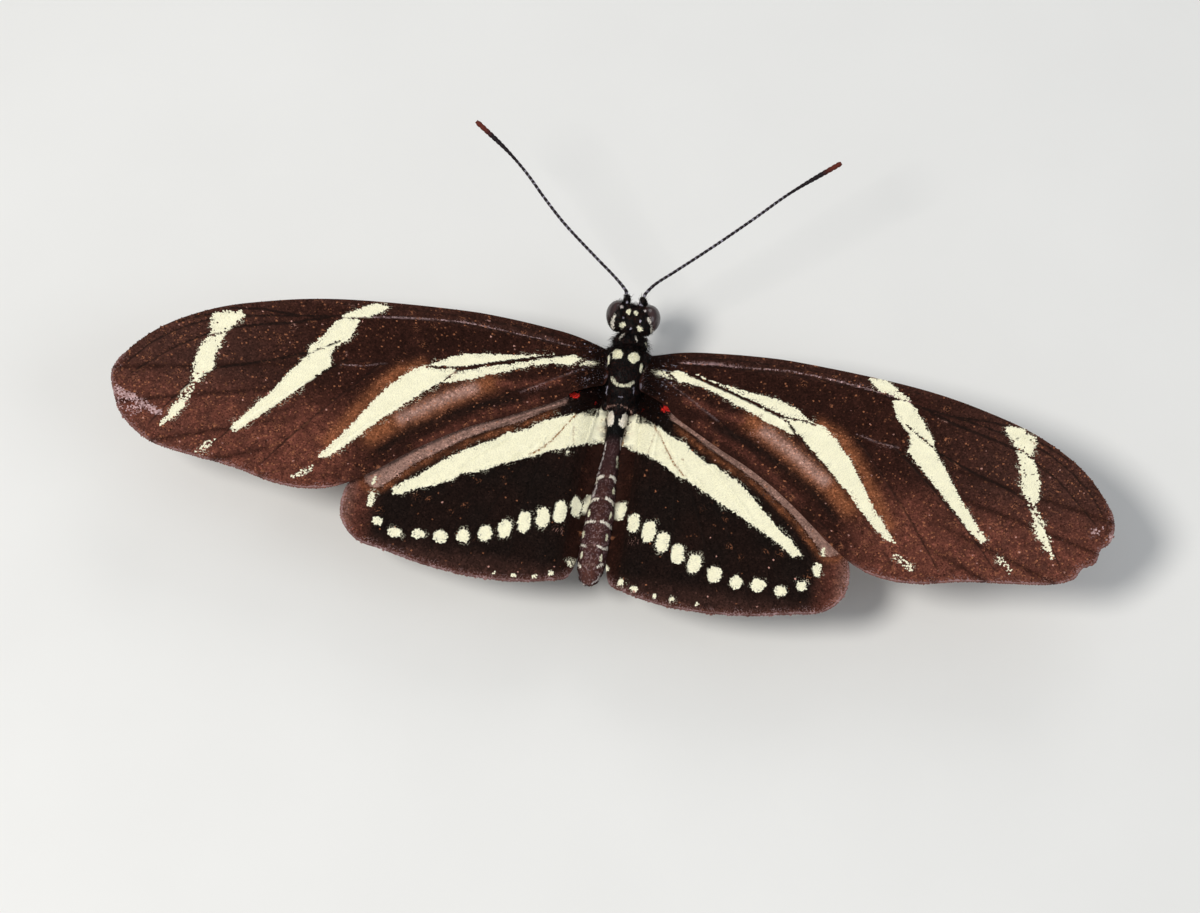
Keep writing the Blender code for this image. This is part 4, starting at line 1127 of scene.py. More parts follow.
def add_root_hair(wing):
    """Dark hair over the place where a wing meets the thorax."""
    rng = np.random.default_rng(140 + (wing.kind == "forewing") + 2 * (wing.side > 0))
    fore = wing.kind == "forewing"
    outward = 1.5 + 3.4 * rng.random(ROOT_HAIR_TRIES) ** 1.4
    points = np.column_stack((outward, 3.4 + 6.6 * rng.random(ROOT_HAIR_TRIES)))
    points = points[inside(points, wing.rim)]
    low_edge = 5.3 if fore else 3.9
    points = points[points[:, 1] > low_edge + 0.2 * (points[:, 0] - 1.5) * (1 if fore else -1)]
    cream = inside(points, wing.on_reading(INNER_STRIPE)) if fore else np.zeros(len(points), bool)
    points = points[~cream | (points[:, 0] < 2.3)]
    roots, normals = wing.face(points, True, -0.01)
    count = len(points)
    lie = np.column_stack((np.ones(count), -0.25 + 0.05 * (points[:, 1] - 6.0), np.full(count, 0.1)))
    lie += (rng.random((count, 3)) - 0.5) * (0.9, 0.9, 0.3)
    fade = 1.0 - 0.55 * ease((points[:, 0] - 2.0) / 2.6)
    lengths = (0.32 + 0.4 * rng.random(count)) * fade
    lifts = lengths * (0.15 + 0.3 * rng.random(count)) * fade
    named = palette()
    colours = np.tile(named["ink"], (count, 1)) * (0.4 + 0.7 * rng.random(count))[:, None]
    colours = blend(colours, named["brown"], 0.7 * (rng.random(count) < 0.5))
    bright = rng.random(count) < BRIGHT_HAIR_SHARE
    colours = blend(colours, named["frost"], 0.8 * bright)
    lengths = np.where(bright, 0.12, lengths)
    patch_at = 0.02 + 0.9 * (points - points.min(axis=0)) / 10.0
    roots, normals, lie = (wing.mirrored(array) for array in (roots, normals, lie))
    name = f"{wing.kind}_{wing.label}_root_hair"
    return lay_scales(
        name, roots, normals, lie, lengths, np.full(count, 0.04), lifts, colours, patch_at,
        HAIR_THICKNESS, HAIR_TIP,
    )


# Body
def add_body():
    """Head, collar, thorax, abdomen and palps under one skin."""
    parts = []
    rng = np.random.default_rng(51)
    for table, x in ((THORAX, 0.0), (NECK, NECK_X)):
        parts.append(extrude_sections([egg_section(*row, x=x) for row in table]))
    front, back = ABDOMEN_ENDS[1], ABDOMEN_ENDS[0]
    places = np.linspace(back, front, 90)
    sections = []
    for y in places:
        seam = min(abs(y - place) for place in ABDOMEN_SEAMS)
        pinch = 1.0 - SEAM_DEPTH * math.exp(-((seam / SEAM_HALF_WIDTH) ** 2))
        radius = float(table_value(ABDOMEN_RADII, y)) * pinch
        middle = float(table_value(ABDOMEN_HEIGHTS, y))
        sections.append(egg_section(y, radius, middle, radius, radius * 0.96))
    parts.append(extrude_sections(sections))
    parts.append(add_ball(HEAD_CENTRE, HEAD_RADII))
    parts.append(add_ball(HEAD_CENTRE + Vector((0.0, 0.75, -0.35)), (0.62, 0.72, 0.75)))
    parts.append(add_ball((0.0, 6.0, 8.25), (0.95, 0.62, 0.45)))
    for label, side in SIDES.items():
        parts.append(add_ball((side * 1.5, 8.3, 8.1), (0.5, 1.3, 0.45)))
        parts.append(add_ball((side * 1.25, 5.35, 7.1), (0.42, 0.8, 0.4)))
        parts.append(add_ball((side * 1.5, 9.3, 8.5), (0.5, 0.7, 0.36)))
        shift = SOCKET_SHIFTS[label]
        socket = HEAD_CENTRE + EYE_OFFSET * Vector((side, 1.0, 1.0))
        socket = socket - Vector((side * shift[0], shift[1], SOCKET_DROP))
        parts.append(add_ball(socket, [radius * SOCKET_SCALE for radius in EYE_RADII]))
        for leg in LEGS.values():
            x, y, z = leg["hip"]
            parts.append(add_ball((side * x * 0.95, y, z + 0.1), (0.46, 0.5, 0.6), 16, 10))
        parts.append(add_ball((side * 0.7, 10.75, 5.75), (0.4, 0.45, 0.6), 16, 10))
        foot, tip = (HEAD_CENTRE + Vector((side * p.x, p.y, p.z)) for p in (SCAPE_FOOT, SCAPE_TIP))
        scape = (foot, foot.lerp(tip, 0.5), foot.lerp(tip, 0.8), tip)
        parts.append(add_tube(scape, (0.2, 0.21, 0.2, 0.15), 12))
        palp = smooth_path([HEAD_CENTRE + Vector((side * x, y, z)) for x, y, z in PALP_PATH], 0.1)
        shares = np.linspace(0.0, 1.0, len(palp))
        parts.append(add_tube(palp, table_value(PALP_RADII, shares), 12))
    body = join("body_skin", parts)
    apply_modifier(body, "REMESH", mode="VOXEL", voxel_size=SKIN_VOXEL)
    apply_modifier(body, "SMOOTH", factor=0.5, iterations=3)
    points = vertex_points(body)
    bumps = (Mottle(52, 0.22)(points) - 0.5) * SKIN_BUMP
    normals = np.array([tuple(vert.normal) for vert in body.data.vertices])
    points = points + normals * bumps[:, None]
    body.data.vertices.foreach_set("co", points.astype(np.float32).ravel())
    body.data.update()
    normals = np.array([tuple(vert.normal) for vert in body.data.vertices])
    paint(body, body_colours(points, normals, rng) * 0.8)
    smooth_faces(body)
    return body


def readings(points):
    """The (u, v) reading at which the camera sees each point."""
    right, up, forward = (np.array(axis) for axis in view_axes())
    from_eye = points - np.array(eye_point())
    depth = from_eye @ forward
    wide = VIEW_SENSOR / VIEW_LENS
    a = ((from_eye @ right) / depth / wide + 0.5) * FRAME_SIZE[0] - READ_ORIGIN[0]
    b = FRAME_SIZE[1] / 2 - (from_eye @ up) / depth / wide * FRAME_SIZE[0] - READ_ORIGIN[1]
    cos, sin = READ_TURN
    return np.column_stack((cos * a + sin * b, sin * a - cos * b)) / PIXELS_PER_MM


def body_colours(points, normals, rng):
    named = palette()
    seen = readings(points)
    facing = -(normals @ np.array(view_axes()[2]))
    up = facing > 0.12
    grain = Mottle(61, 0.3)(points)
    fine = Mottle(62, 0.12)(points)
    chance = rng.random(len(points))
    y = points[:, 1]
    colours = np.tile(named["ink"], (len(points), 1))
    plum = 0.55 + 0.2 * grain + 0.25 * ease((-3.0 - y) / 4.0)
    colours = blend(colours, named["plum"], ease((2.6 - y) / 1.6) * plum)
    colours = blend(colours, named["rust"], 0.25 * (y > 4.0) * grain * (chance < 0.3))
    lit = np.exp(-((points[:, 0] / 0.75) ** 2)) * ease((1.0 - y) / 6.0)
    colours = blend(colours, named["bronze"], up * (0.2 * lit * grain + 0.15 * ease((-8.5 - y) / 2.0) * fine))
    dusted = up & (y < 2.2) & (fine > 0.56) & (chance > 0.5)
    colours = blend(colours, named["rim"], dusted * (0.12 + 0.28 * ease((1.0 - y) / 9.0)))
    middle = table_value(ABDOMEN_HEIGHTS, y)
    turn = np.arctan2(points[:, 2] - middle, points[:, 0])
    ragged = 0.6 + 0.8 * fine
    for u, v, width, tall, name in BODY_SPOTS:
        shape = ((seen[:, 0] - u) / width * 2) ** 2 + ((seen[:, 1] - v) / tall * 2) ** 2
        colours[up & (shape < ragged)] = named[name]
    for path, half, name in BODY_STREAKS:
        near = distance_to(seen, np.array(path))[0] < half * (0.6 + 0.8 * fine)
        colours = blend(colours, named[name], 0.9 * (up & near & (chance < 0.85)))
    abdomen = y < 3.0
    centre = -0.1 + 0.038 * seen[:, 1]
    for v, half_width in RING_ARCS:
        arch = v - 0.42 * ((seen[:, 0] - centre) / half_width) ** 2
        ring = np.exp(-(((seen[:, 1] - arch) / 0.06) ** 2))
        colours = blend(colours, named["dusk"], 0.4 * abdomen * up * ring * (0.3 + fine))
    for path in RING_BARS:
        near = distance_to(seen, np.array(path))[0] / RING_HALF_WIDTH
        barred = abdomen & up & (near < 0.55 + 0.9 * fine) & (chance < 0.93)
        colours = blend(colours, named["snow"], 0.95 * barred)
    for u, v in DASHES:
        shape = ((seen[:, 0] - u) / DASH_SIZE[0] * 2) ** 2 + ((seen[:, 1] - v) / DASH_SIZE[1] * 2) ** 2
        colours = blend(colours, named["cream"], 0.95 * (up & abdomen & (shape < ragged)))
    low_stripe = (y < 4.0) & (np.abs(np.abs(turn + math.pi / 2) - 0.75) < 0.16)
    colours = blend(colours, named["cream"], 0.85 * (low_stripe & ~up & (chance < 0.85)))
    side_spots = (np.abs(points[:, 0]) > 1.2) & (points[:, 2] < 6.6) & (y > 5.5)
    dots = (np.sin(y * 4.1) > 0.55) & (np.sin(points[:, 2] * 4.6 + 0.8) > 0.35)
    colours[side_spots & dots] = named["cream"]
    tone = 0.8 + 0.4 * rng.random(len(points))
    return colours * tone[:, None]


def surface_samples(obj, count, rng):
    """Evenly spread points and normals over a mesh."""
    mesh = obj.data
    mesh.calc_loop_triangles()
    corners = np.array([triangle.vertices for triangle in mesh.loop_triangles])
    points = vertex_points(obj)
    a, b, c = points[corners[:, 0]], points[corners[:, 1]], points[corners[:, 2]]
    cross = np.cross(b - a, c - a)
    areas = np.linalg.norm(cross, axis=1)
    chosen = rng.choice(len(areas), count, p=areas / areas.sum())
    r, s = rng.random(count), rng.random(count)
    flip = r + s > 1.0
    r, s = np.where(flip, 1.0 - r, r), np.where(flip, 1.0 - s, s)
    places = a[chosen] + (b - a)[chosen] * r[:, None] + (c - a)[chosen] * s[:, None]
    vert_normals = np.array([tuple(vert.normal) for vert in mesh.vertices])
    normals = vert_normals[corners[chosen]].mean(axis=1)
    return places, normals / np.linalg.norm(normals, axis=1)[:, None]


def body_patch(points):
    """A place on the body's own unwrap: round it and along it."""
    rise = points[:, 2] - table_value(ABDOMEN_HEIGHTS, points[:, 1])
    turn = np.arctan2(rise, points[:, 0]) / (2 * math.pi)
    along = (points[:, 1] - ABDOMEN_ENDS[0]) / BODY_LENGTH
    return np.column_stack((0.02 + 0.95 * (turn % 1.0), 0.02 + 0.95 * along))


def add_body_scales(body):
    """Short flat scales that lie back over the whole skin."""
    size = bpy.context.scene.longwing_sizes
    rng = np.random.default_rng(71)
    roots, normals = surface_samples(body, size.body_scales, rng)
    lie = np.tile((0.0, -1.0, 0.0), (len(roots), 1)) + (rng.random((len(roots), 3)) - 0.5) * 0.7
    vary = 0.7 + 0.6 * rng.random(len(roots))
    lengths = 0.17 * vary
    widths = 0.09 * vary
    lifts = 0.02 + 0.05 * rng.random(len(roots))
    middles = roots + lie * (lengths * 0.5)[:, None]
    colours = body_colours(middles, normals, rng)
    return lay_scales("body_scales", roots, normals, lie, lengths, widths, lifts, colours, body_patch(roots))


def add_body_hair(body):
    """Fine hair on the head, the collar, the thorax and the abdomen's sides."""
    size = bpy.context.scene.longwing_sizes
    rng = np.random.default_rng(72)
    roots, normals = surface_samples(body, size.body_hairs, rng)
    y = roots[:, 1]
    share = np.where(y > 4.5, 1.0, 0.25)
    kept = rng.random(len(roots)) < share
    roots, normals, y = roots[kept], normals[kept], y[kept]
    lie = np.tile((0.0, -1.0, 0.1), (len(roots), 1))
    lie[y > 13.6] = (0.0, 0.7, 0.3)
    lie += normals * 0.8 + (rng.random((len(roots), 3)) - 0.5) * 0.8
    long_at = table_value(HAIR_LENGTHS, y)
    length = size.hair_length / MM * long_at / 0.6 * (0.6 + 0.7 * rng.random(len(roots)))
    widths = np.full(len(roots), 0.03)
    colours = body_colours(roots, normals, rng)
    pale = colours.max(axis=1) > 0.25
    kept = ~pale | (rng.random(len(roots)) < 0.6)
    length = np.where(pale, np.minimum(length, 0.22), length)
    arrays = (roots, normals, lie, length, widths, colours)
    roots, normals, lie, length, widths, colours = (array[kept] for array in arrays)
    lifts = length * (0.35 + 0.35 * rng.random(len(roots)))
    return lay_scales(
        "body_hair", roots, normals, lie, length, widths, lifts, colours, body_patch(roots),
        HAIR_THICKNESS, HAIR_TIP,
    )


def add_eye(label):
    """A faceted eye: every corner of a fine ball becomes a small lens."""
    side = SIDES[label]
    centre = HEAD_CENTRE + Vector((side * EYE_OFFSET.x, EYE_OFFSET.y, EYE_OFFSET.z))
    deselect()
    bpy.ops.mesh.primitive_ico_sphere_add(subdivisions=6, radius=1.0, location=centre)
    obj = bpy.context.object
    obj.name = f"eye_{label}_facets"
    bpy.ops.object.mode_set(mode="EDIT")
    bpy.ops.transform.resize(value=EYE_RADII)
    if side > 0:
        bpy.ops.transform.resize(value=RIGHT_EYE_STRETCH)
        bpy.ops.transform.translate(value=RIGHT_EYE_SHIFT)
    bpy.ops.mesh.poke(offset=-bpy.context.scene.longwing_sizes.facet_depth / MM)
    bpy.ops.object.mode_set(mode="OBJECT")
    bpy.ops.object.shade_smooth()
    return obj


# Feelers, tongue and legs
def add_feeler(label):
    """A ringed feeler that thickens to a club."""
    size = bpy.context.scene.longwing_sizes
    thin = size.feeler_width / MM / 2
    path = smooth_path(ANTENNAE[label], 0.09)
    steps = np.linalg.norm(np.diff(path, axis=0), axis=1)
    run = np.concatenate(([0.0], np.cumsum(steps)))
    share = run / run[-1]
    radius = thin * table_value(FEELER_RADII, share)
    phase = (run / RING_LENGTH) % 1.0
    radii = radius * (1.0 - 0.22 * np.exp(-((np.minimum(phase, 1.0 - phase) / 0.14) ** 2)))
    obj = add_tube(path, radii, 12)
    obj.name = f"antenna_{label}_rings"
    points = vertex_points(obj)
    nearest = np.array([np.argmin(np.linalg.norm(path - point, axis=1)) for point in points])
    named = palette()
    colours = np.tile(named["feeler"], (len(points), 1))
    colours = blend(colours, named["club"], ease((share[nearest] - 0.9) / 0.06))
    rng = np.random.default_rng(81)
    fleck = (phase[nearest] < 0.3) & (share[nearest] < 0.75) & (rng.random(len(points)) < 0.5)
    colours = blend(colours, named["frost"], 0.65 * fleck)
    paint(obj, colours)
    smooth_faces(obj)
    return obj


def add_tongue():
    """Two grooved halves wound in a flat coil."""
    centre = HEAD_CENTRE + COIL_CENTRE
    path = [HEAD_CENTRE + COIL_ROOT]
    for i in range(COIL_STEPS):
        share = i / (COIL_STEPS - 1)
        radius = COIL_RADII[0] + (COIL_RADII[1] - COIL_RADII[0]) * share
        angle = math.pi + 2 * math.pi * COIL_TURNS * share
        path.append(centre + Vector((0.0, math.cos(angle) * radius, math.sin(angle) * radius)))
    line = smooth_path(path, 0.06)
    run = np.arange(len(line))
    halves = []
    for side in SIDES.values():
        radii = np.linspace(*TONGUE_RADII, len(line)) * (1.0 + 0.08 * np.sin(run * 2.1))
        halves.append(add_tube(line + (side * TONGUE_HALF_GAP, 0.0, 0.0), radii, 12))
    obj = join("proboscis_coil", halves)
    colours = np.tile(palette()["leg"], (len(obj.data.vertices), 1))
    paint(obj, colours)
    smooth_faces(obj)
    return obj


def add_spike(foot, direction, length, width):
    """A thin spine, drawn from a cone."""
    deselect()
    direction = Vector(direction).normalized()
    turn = direction.to_track_quat("Z", "Y").to_euler()
    middle = Vector(foot) + direction * (length / 2)
    bpy.ops.mesh.primitive_cone_add(vertices=5, radius1=width, radius2=width * 0.2, depth=length,
                                    location=middle, rotation=turn)
    obj = bpy.context.object
    bpy.ops.object.transform_apply(location=True, rotation=True, scale=True)
    return obj


def add_leg(part, label, rng):
    """A thigh, a shin and a foot of five joints, with spines and two claws."""
    side = SIDES[label]
    leg = LEGS[part]
    bends = (leg[place] for place in ("hip", "knee", "ankle"))
    hip, knee, ankle = (Vector((side * x, y, z)) for x, y, z in bends)
    thigh = smooth_path((hip.lerp(knee, 0.02), knee), 0.12)
    shin = smooth_path((knee, ankle), 0.12)
    foot = smooth_path([Vector((side * x, y, FOOT_HEIGHT)) for x, y in leg["foot"]], 0.06)
    shares = np.linspace(0.0, 1.0, len(thigh))
    parts = [add_tube(thigh, table_value(THIGH_RADII, shares), 12)]
    shares = np.linspace(0.0, 1.0, len(shin))
    parts.append(add_tube(shin, table_value(SHIN_RADII, shares), 12))
    parts.append(add_ball(knee, (0.24, 0.24, 0.24), 16, 10))
    parts.append(add_ball(ankle.lerp(Vector(foot[0]), 0.5), (0.18, 0.18, 0.4), 16, 10))
    run = np.linspace(0.0, FOOT_JOINTS, len(foot))
    phase = run % 1.0
    radii = FOOT_RADIUS * (0.78 + 0.22 * np.sin(math.pi * phase) ** 0.6) * (1.0 - 0.04 * run)
    parts.append(add_tube(foot, radii, 12))
    for path, every, reach in ((shin, 5, 0.3), (foot, 7, 0.16)):
        for i in range(every, len(path) - 2, every):
            along = Vector(path[i + 1] - path[i]).normalized()
            for turn in (-1, 1):
                out = along.cross(Vector((0.0, 0.0, 1.0))).normalized() * turn
                out += along * 0.9 + Vector((0.0, 0.0, -0.25 if path is shin else 0.0))
                parts.append(add_spike(path[i], out, reach * (0.9 + 0.3 * rng.random()) + 0.16, 0.035))
    end = Vector(foot[-1])
    ahead = Vector(foot[-1] - foot[-3]).normalized()
    across = ahead.cross(Vector((0.0, 0.0, 1.0)))
    for turn in (-1, 1):
        hook = [
            end - ahead * 0.05,
            end + ahead * 0.16 + across * turn * 0.08 + Vector((0.0, 0.0, 0.05)),
            end + ahead * 0.3 + across * turn * 0.14 + Vector((0.0, 0.0, -0.02)),
            end + ahead * 0.34 + across * turn * 0.17 + Vector((0.0, 0.0, -0.12)),
        ]
        claw = smooth_path(hook, 0.05)
        parts.append(add_tube(claw, np.linspace(0.055, 0.012, len(claw)), 8))
    parts.append(add_ball(end + ahead * 0.08 + Vector((0.0, 0.0, -0.06)), (0.09, 0.09, 0.06), 12, 8))
    obj = join(f"{part}_{label}_skin", parts)
    tint_leg(obj)
    return obj


def add_foreleg(label):
    """The small brush foot, folded below the collar."""
    side = SIDES[label]
    path = smooth_path([Vector((side * x, y, z)) for x, y, z in FORELEG_PATH], 0.1)
    shares = np.linspace(0.0, 1.0, len(path))
    parts = [add_tube(path, table_value(FORELEG_RADII, shares), 12)]
    rng = np.random.default_rng(91)
    for i in range(4, len(path) - 2, 2):
        for _ in range(3):
            out = Vector(rng.random(3) - 0.5).normalized()
            along = Vector(path[i + 1] - path[i]).normalized()
            parts.append(add_spike(path[i], out + along * 0.8, 0.42, 0.03))
    obj = join(f"foreleg_{label}_skin", parts)
    tint_leg(obj)
    return obj


def tint_leg(obj):
    """Dark above and paler below, as the species has its legs."""
    named = palette()
    normals = np.array([tuple(vert.normal) for vert in obj.data.vertices])
    points = vertex_points(obj)
    colours = np.tile(named["leg"], (len(points), 1))
    under = ease((-normals[:, 2] - 0.1) / 0.6)
    colours = blend(colours, named["sand"], 0.6 * under * Mottle(92, 0.4)(points))
    paint(obj, colours)
    smooth_faces(obj)


# Materials
def new_material(name, roughness, **settings):
    material = bpy.data.materials.new(name)
    material.use_nodes = True
    shader = material.node_tree.nodes["Principled BSDF"]
    shader.inputs["Roughness"].default_value = roughness
    for socket, value in settings.items():
        shader.inputs[socket.replace("_", " ")].default_value = value
    return material, material.node_tree, shader


def add_node(tree, kind, **values):
    node = tree.nodes.new(kind)
    for name, value in values.items():
        if name in node.inputs:
            node.inputs[name].default_value = value
        else:
            setattr(node, name, value)
    return node


def object_noise(tree, stretch=(1.0, 1.0, 1.0), **values):
    """Noise in the object's own coordinates."""
    place = tree.nodes.new("ShaderNodeTexCoord")
    mapping = add_node(tree, "ShaderNodeMapping", Scale=stretch)
    noise = add_node(tree, "ShaderNodeTexNoise", **values)
    tree.links.new(place.outputs["Object"], mapping.inputs["Vector"])
    tree.links.new(mapping.outputs["Vector"], noise.inputs["Vector"])
    return noise


def spread_node(tree, noise, low, high):
    """The noise brought between two values."""
    spread = add_node(tree, "ShaderNodeMapRange", **{"To Min": low, "To Max": high})
    tree.links.new(noise.outputs["Fac"], spread.inputs["Value"])
    return spread.outputs["Result"]


def ramp_colour(tree, shader, noise, colours, places=(0.0, 1.0)):
    """The base colour, from the noise through a ramp of two colours."""
    ramp = tree.nodes.new("ShaderNodeValToRGB")
    for element, colour, place in zip(ramp.color_ramp.elements, colours, places):
        element.position = place
        element.color = colour
    tree.links.new(noise.outputs["Fac"], ramp.inputs["Fac"])
    tree.links.new(ramp.outputs["Color"], shader.inputs["Base Color"])


def grain_height(tree, shader, scale, strength, distance):
    """Bump from fine noise."""
    noise = object_noise(tree, Scale=scale, Detail=4.0, Roughness=0.6)
    bump = add_node(tree, "ShaderNodeBump", Strength=strength, Distance=distance)
    tree.links.new(noise.outputs["Fac"], bump.inputs["Height"])
    tree.links.new(bump.outputs["Normal"], shader.inputs["Normal"])
    return noise


def tint_nodes(tree, shader, noise, low, high):
    """The painted colour, made a little lighter and darker by the grain."""
    tint = add_node(tree, "ShaderNodeAttribute", attribute_name="tint")
    scale = add_node(tree, "ShaderNodeVectorMath", operation="SCALE")
    tree.links.new(tint.outputs["Color"], scale.inputs[0])
    tree.links.new(spread_node(tree, noise, low, high), scale.inputs["Scale"])
    tree.links.new(scale.outputs["Vector"], shader.inputs["Base Color"])


def painted_material(name, scale, strength, rough=(0.4, 0.6), distance=0.00003, **settings):
    """A finish whose colour is painted on the mesh and whose grain is fine noise."""
    material, tree, shader = new_material(name, 0.5, **settings)
    noise = grain_height(tree, shader, scale, strength, distance)
    tint_nodes(tree, shader, noise, 0.8, 1.2)
    tree.links.new(spread_node(tree, noise, *rough), shader.inputs["Roughness"])
    return material


def eye_material():
    """Deep brown with faint paler arcs along the outer rim, a painted reflection, under a soft gloss."""
    material, tree, shader = new_material("eye_gloss", 0.22, Coat_Weight=0.3, Coat_Roughness=0.06)
    brown = palette()["eye"]
    noise = object_noise(tree, (1.0, 0.2, 0.2), Scale=3500.0, Detail=3.0)
    ramp_colour(tree, shader, noise, ((*(brown * 0.55), 1.0), (*(brown * 1.5), 1.0)), (0.35, 0.7))
    return material


def floor_material():
    material, tree, shader = new_material("pale_floor", 0.6)
    ramp_colour(tree, shader, object_noise(tree, Scale=60.0, Detail=4.0), FLOOR_COLOURS)
    return material


# Panel values
def length_value(name, description, default, low, precision=6):
    return FloatProperty(
        name=name, description=description, default=default, min=low, unit="LENGTH", subtype="DISTANCE",
        precision=precision,
    )


class LongwingSizes(bpy.types.PropertyGroup):
    """Sizes of the pieces."""

    membrane: length_value("Membrane", "Thickness of the wings between their veins", 0.00006, 0.00001)
    vein_width: length_value("Vein width", "Width of a main vein at its root", 0.00034, 0.0001)
    vein_rise: length_value("Vein rise", "How far a vein stands out at its root", 0.0001, 0.00001)
    scale_spacing: length_value(
        "Scale spacing", "Distance between wing scales on the upper side", 0.000145, 0.00012,
    )
    under_spacing: length_value(
        "Under spacing", "Distance between wing scales on the under side", 0.00019, 0.00012,
    )
    scale_length: length_value("Scale length", "Length of a wing scale", 0.00024, 0.00005)
    scale_width: length_value("Scale width", "Width of a wing scale at its tip", 0.00015, 0.00003)
    fringe_length: length_value(
        "Fringe length", "Length of the scales along the wings' edges", 0.00022, 0.00005,
    )
    fringe_spacing: length_value(
        "Fringe spacing", "Distance between the scales along the wings' edges", 0.00006, 0.00003,
    )
    hair_length: length_value("Hair length", "Length of the hair on the thorax", 0.0005, 0.00005)
    feeler_width: length_value("Feeler width", "Width of a feeler along its shaft", 0.00027, 0.00005)
    facet_depth: length_value(
        "Facet depth", "How deep the furrows between the eyes' lenses are", 0.000005, 0.0, 7,
    )
    body_scales: IntProperty(
        name="Body scales", description="Number of flat scales on the body", default=26000, min=100,
        max=33000,
    )
    body_hairs: IntProperty(
        name="Body hairs", description="Number of roots tried for hair on the body", default=12000, min=100,
        max=33000,
    )


def colour_value(name, description, default):
    return FloatVectorProperty(
        name=name, description=description, default=default, size=3, min=0.0, max=1.0, subtype="COLOR_GAMMA",
    )


class LongwingColours(bpy.types.PropertyGroup):
    """Colours of the pieces, as seen on a screen."""

    cream: colour_value("Cream", "Bands and spots", (0.975, 0.96, 0.845))
    snow: colour_value("Snow", "Patches behind the thorax and the abdomen's rings", (0.96, 0.93, 0.87))
    white: colour_value("White", "Smallest spots", (0.9, 0.86, 0.84))
    frost: colour_value("Frost", "Bluish white flecks", (0.72, 0.7, 0.76))
    brown: colour_value("Brown", "Forewings near the body", (0.15, 0.08, 0.06))
    umber: colour_value("Umber", "Outer parts of the wings", (0.27, 0.175, 0.15))
    rust: colour_value("Rust", "Red brown clouds and edges", (0.42, 0.24, 0.195))
    bronze: colour_value("Bronze", "Golden sheen near the folds", (0.53, 0.32, 0.21))
    # Dusk is the grey pink of the rubbed strip and of lines on the abdomen, and also a painted highlight
    # along the forewing's fold
    dusk: colour_value("Dusk", "Grey pink sheen where the wings rub", (0.66, 0.52, 0.47))
    ochre: colour_value("Ochre", "Veins over the band", (0.55, 0.36, 0.12))
    # Black is also the painted shadow in the forewing's fold
    black: colour_value("Black", "Hindwings", (0.085, 0.065, 0.055))
    ink: colour_value("Ink", "Head, thorax and hair", (0.06, 0.055, 0.055))
    # Rim is also the painted highlight on the forewing's veins
    rim: colour_value("Rim", "Fringe along the wings' edges", (0.72, 0.6, 0.6))
    worn: colour_value("Worn", "Rubbed places at the wings' tips", (0.83, 0.7, 0.7))
    pink: colour_value("Pink", "Bright single scales", (0.88, 0.66, 0.6))
    fleck: colour_value("Fleck", "Single pale scales", (0.74, 0.48, 0.34))
    red: colour_value("Red", "Spot at the hindwing's root", (0.95, 0.2, 0.17))
    plum: colour_value("Plum", "Abdomen", (0.3, 0.19, 0.19))
    eye: colour_value("Eye", "Eyes", (0.2, 0.125, 0.118))
    feeler: colour_value("Feeler", "Shafts of the feelers", (0.115, 0.085, 0.1))
    club: colour_value("Club", "Tips of the feelers", (0.36, 0.15, 0.11))
    leg: colour_value("Leg", "Legs and tongue", (0.2, 0.15, 0.12))
    sand: colour_value("Sand", "Under sides of the legs", (0.75, 0.68, 0.52))


# Operators
class LONGWING_OT_stage(bpy.types.Operator):
    """Add the floor, the lights and the camera"""

    bl_idname = "longwing.stage"
    bl_label = "Stage"

    def execute(self, context):
        deselect()
        bpy.ops.mesh.primitive_plane_add(size=FLOOR_WIDTH, location=(0.0, 0.0, 0.0))
        floor = context.object
        floor.name = "floor"
        floor.data.materials.append(floor_material())
        world = bpy.data.worlds.new("studio")
        world.use_nodes = True
        background = world.node_tree.nodes["Background"]
        background.inputs["Color"].default_value = STUDIO_COLOUR
        background.inputs["Strength"].default_value = STUDIO_STRENGTH
        context.scene.world = world
        for name, place, size, energy, colour in LIGHTS:
            bpy.ops.object.light_add(type="AREA", location=place)
            light = context.object
            light.name = name
            light.data.shape = "DISK"
            light.data.size = size
            light.data.energy = energy
            light.data.color = colour
            light.rotation_euler = (-Vector(place)).to_track_quat("-Z", "Y").to_euler()
        right, up, forward = view_axes()
        place = eye_point() * MM + SHIFT
        bpy.ops.object.camera_add(location=place)
        camera = context.object
        camera.name = "camera"
        camera.matrix_world = Matrix.Translation(place) @ Matrix((right, up, -forward)).transposed().to_4x4()
        camera.data.lens = VIEW_LENS
        camera.data.sensor_width = VIEW_SENSOR
        camera.data.clip_start = 0.001
        camera.data.clip_end = 20.0
        context.scene.camera = camera
        context.scene.view_settings.view_transform = "Standard"
        return {"FINISHED"}


class LONGWING_OT_body(bpy.types.Operator):
    """Add the skin of the head, collar, thorax and abdomen with its scales and hair"""

    bl_idname = "longwing.body"
    bl_label = "Body"

    def execute(self, context):
        body = add_body()
        coats = [add_body_scales(body), add_body_hair(body)]
        skin = painted_material("body_skin_finish", 9000.0, 0.5, (0.4, 0.6), Specular_IOR_Level=0.12)
        nodes = ("head", "prothorax", "thorax", "abdomen", "palp_left", "palp_right")
        settle(body, skin, nodes)
        coat = painted_material("body_scale_finish", 20000.0, 0.2, (0.4, 0.6), Specular_IOR_Level=0.06)
        for piece in coats:
            settle(piece, coat)
        return {"FINISHED"}


class LONGWING_OT_eyes(bpy.types.Operator):
    """Add the two faceted eyes"""

    bl_idname = "longwing.eyes"
    bl_label = "Eyes"

    def execute(self, context):
        material = eye_material()
        for label in SIDES:
            settle(add_eye(label), material, (f"eye_{label}",))
        return {"FINISHED"}


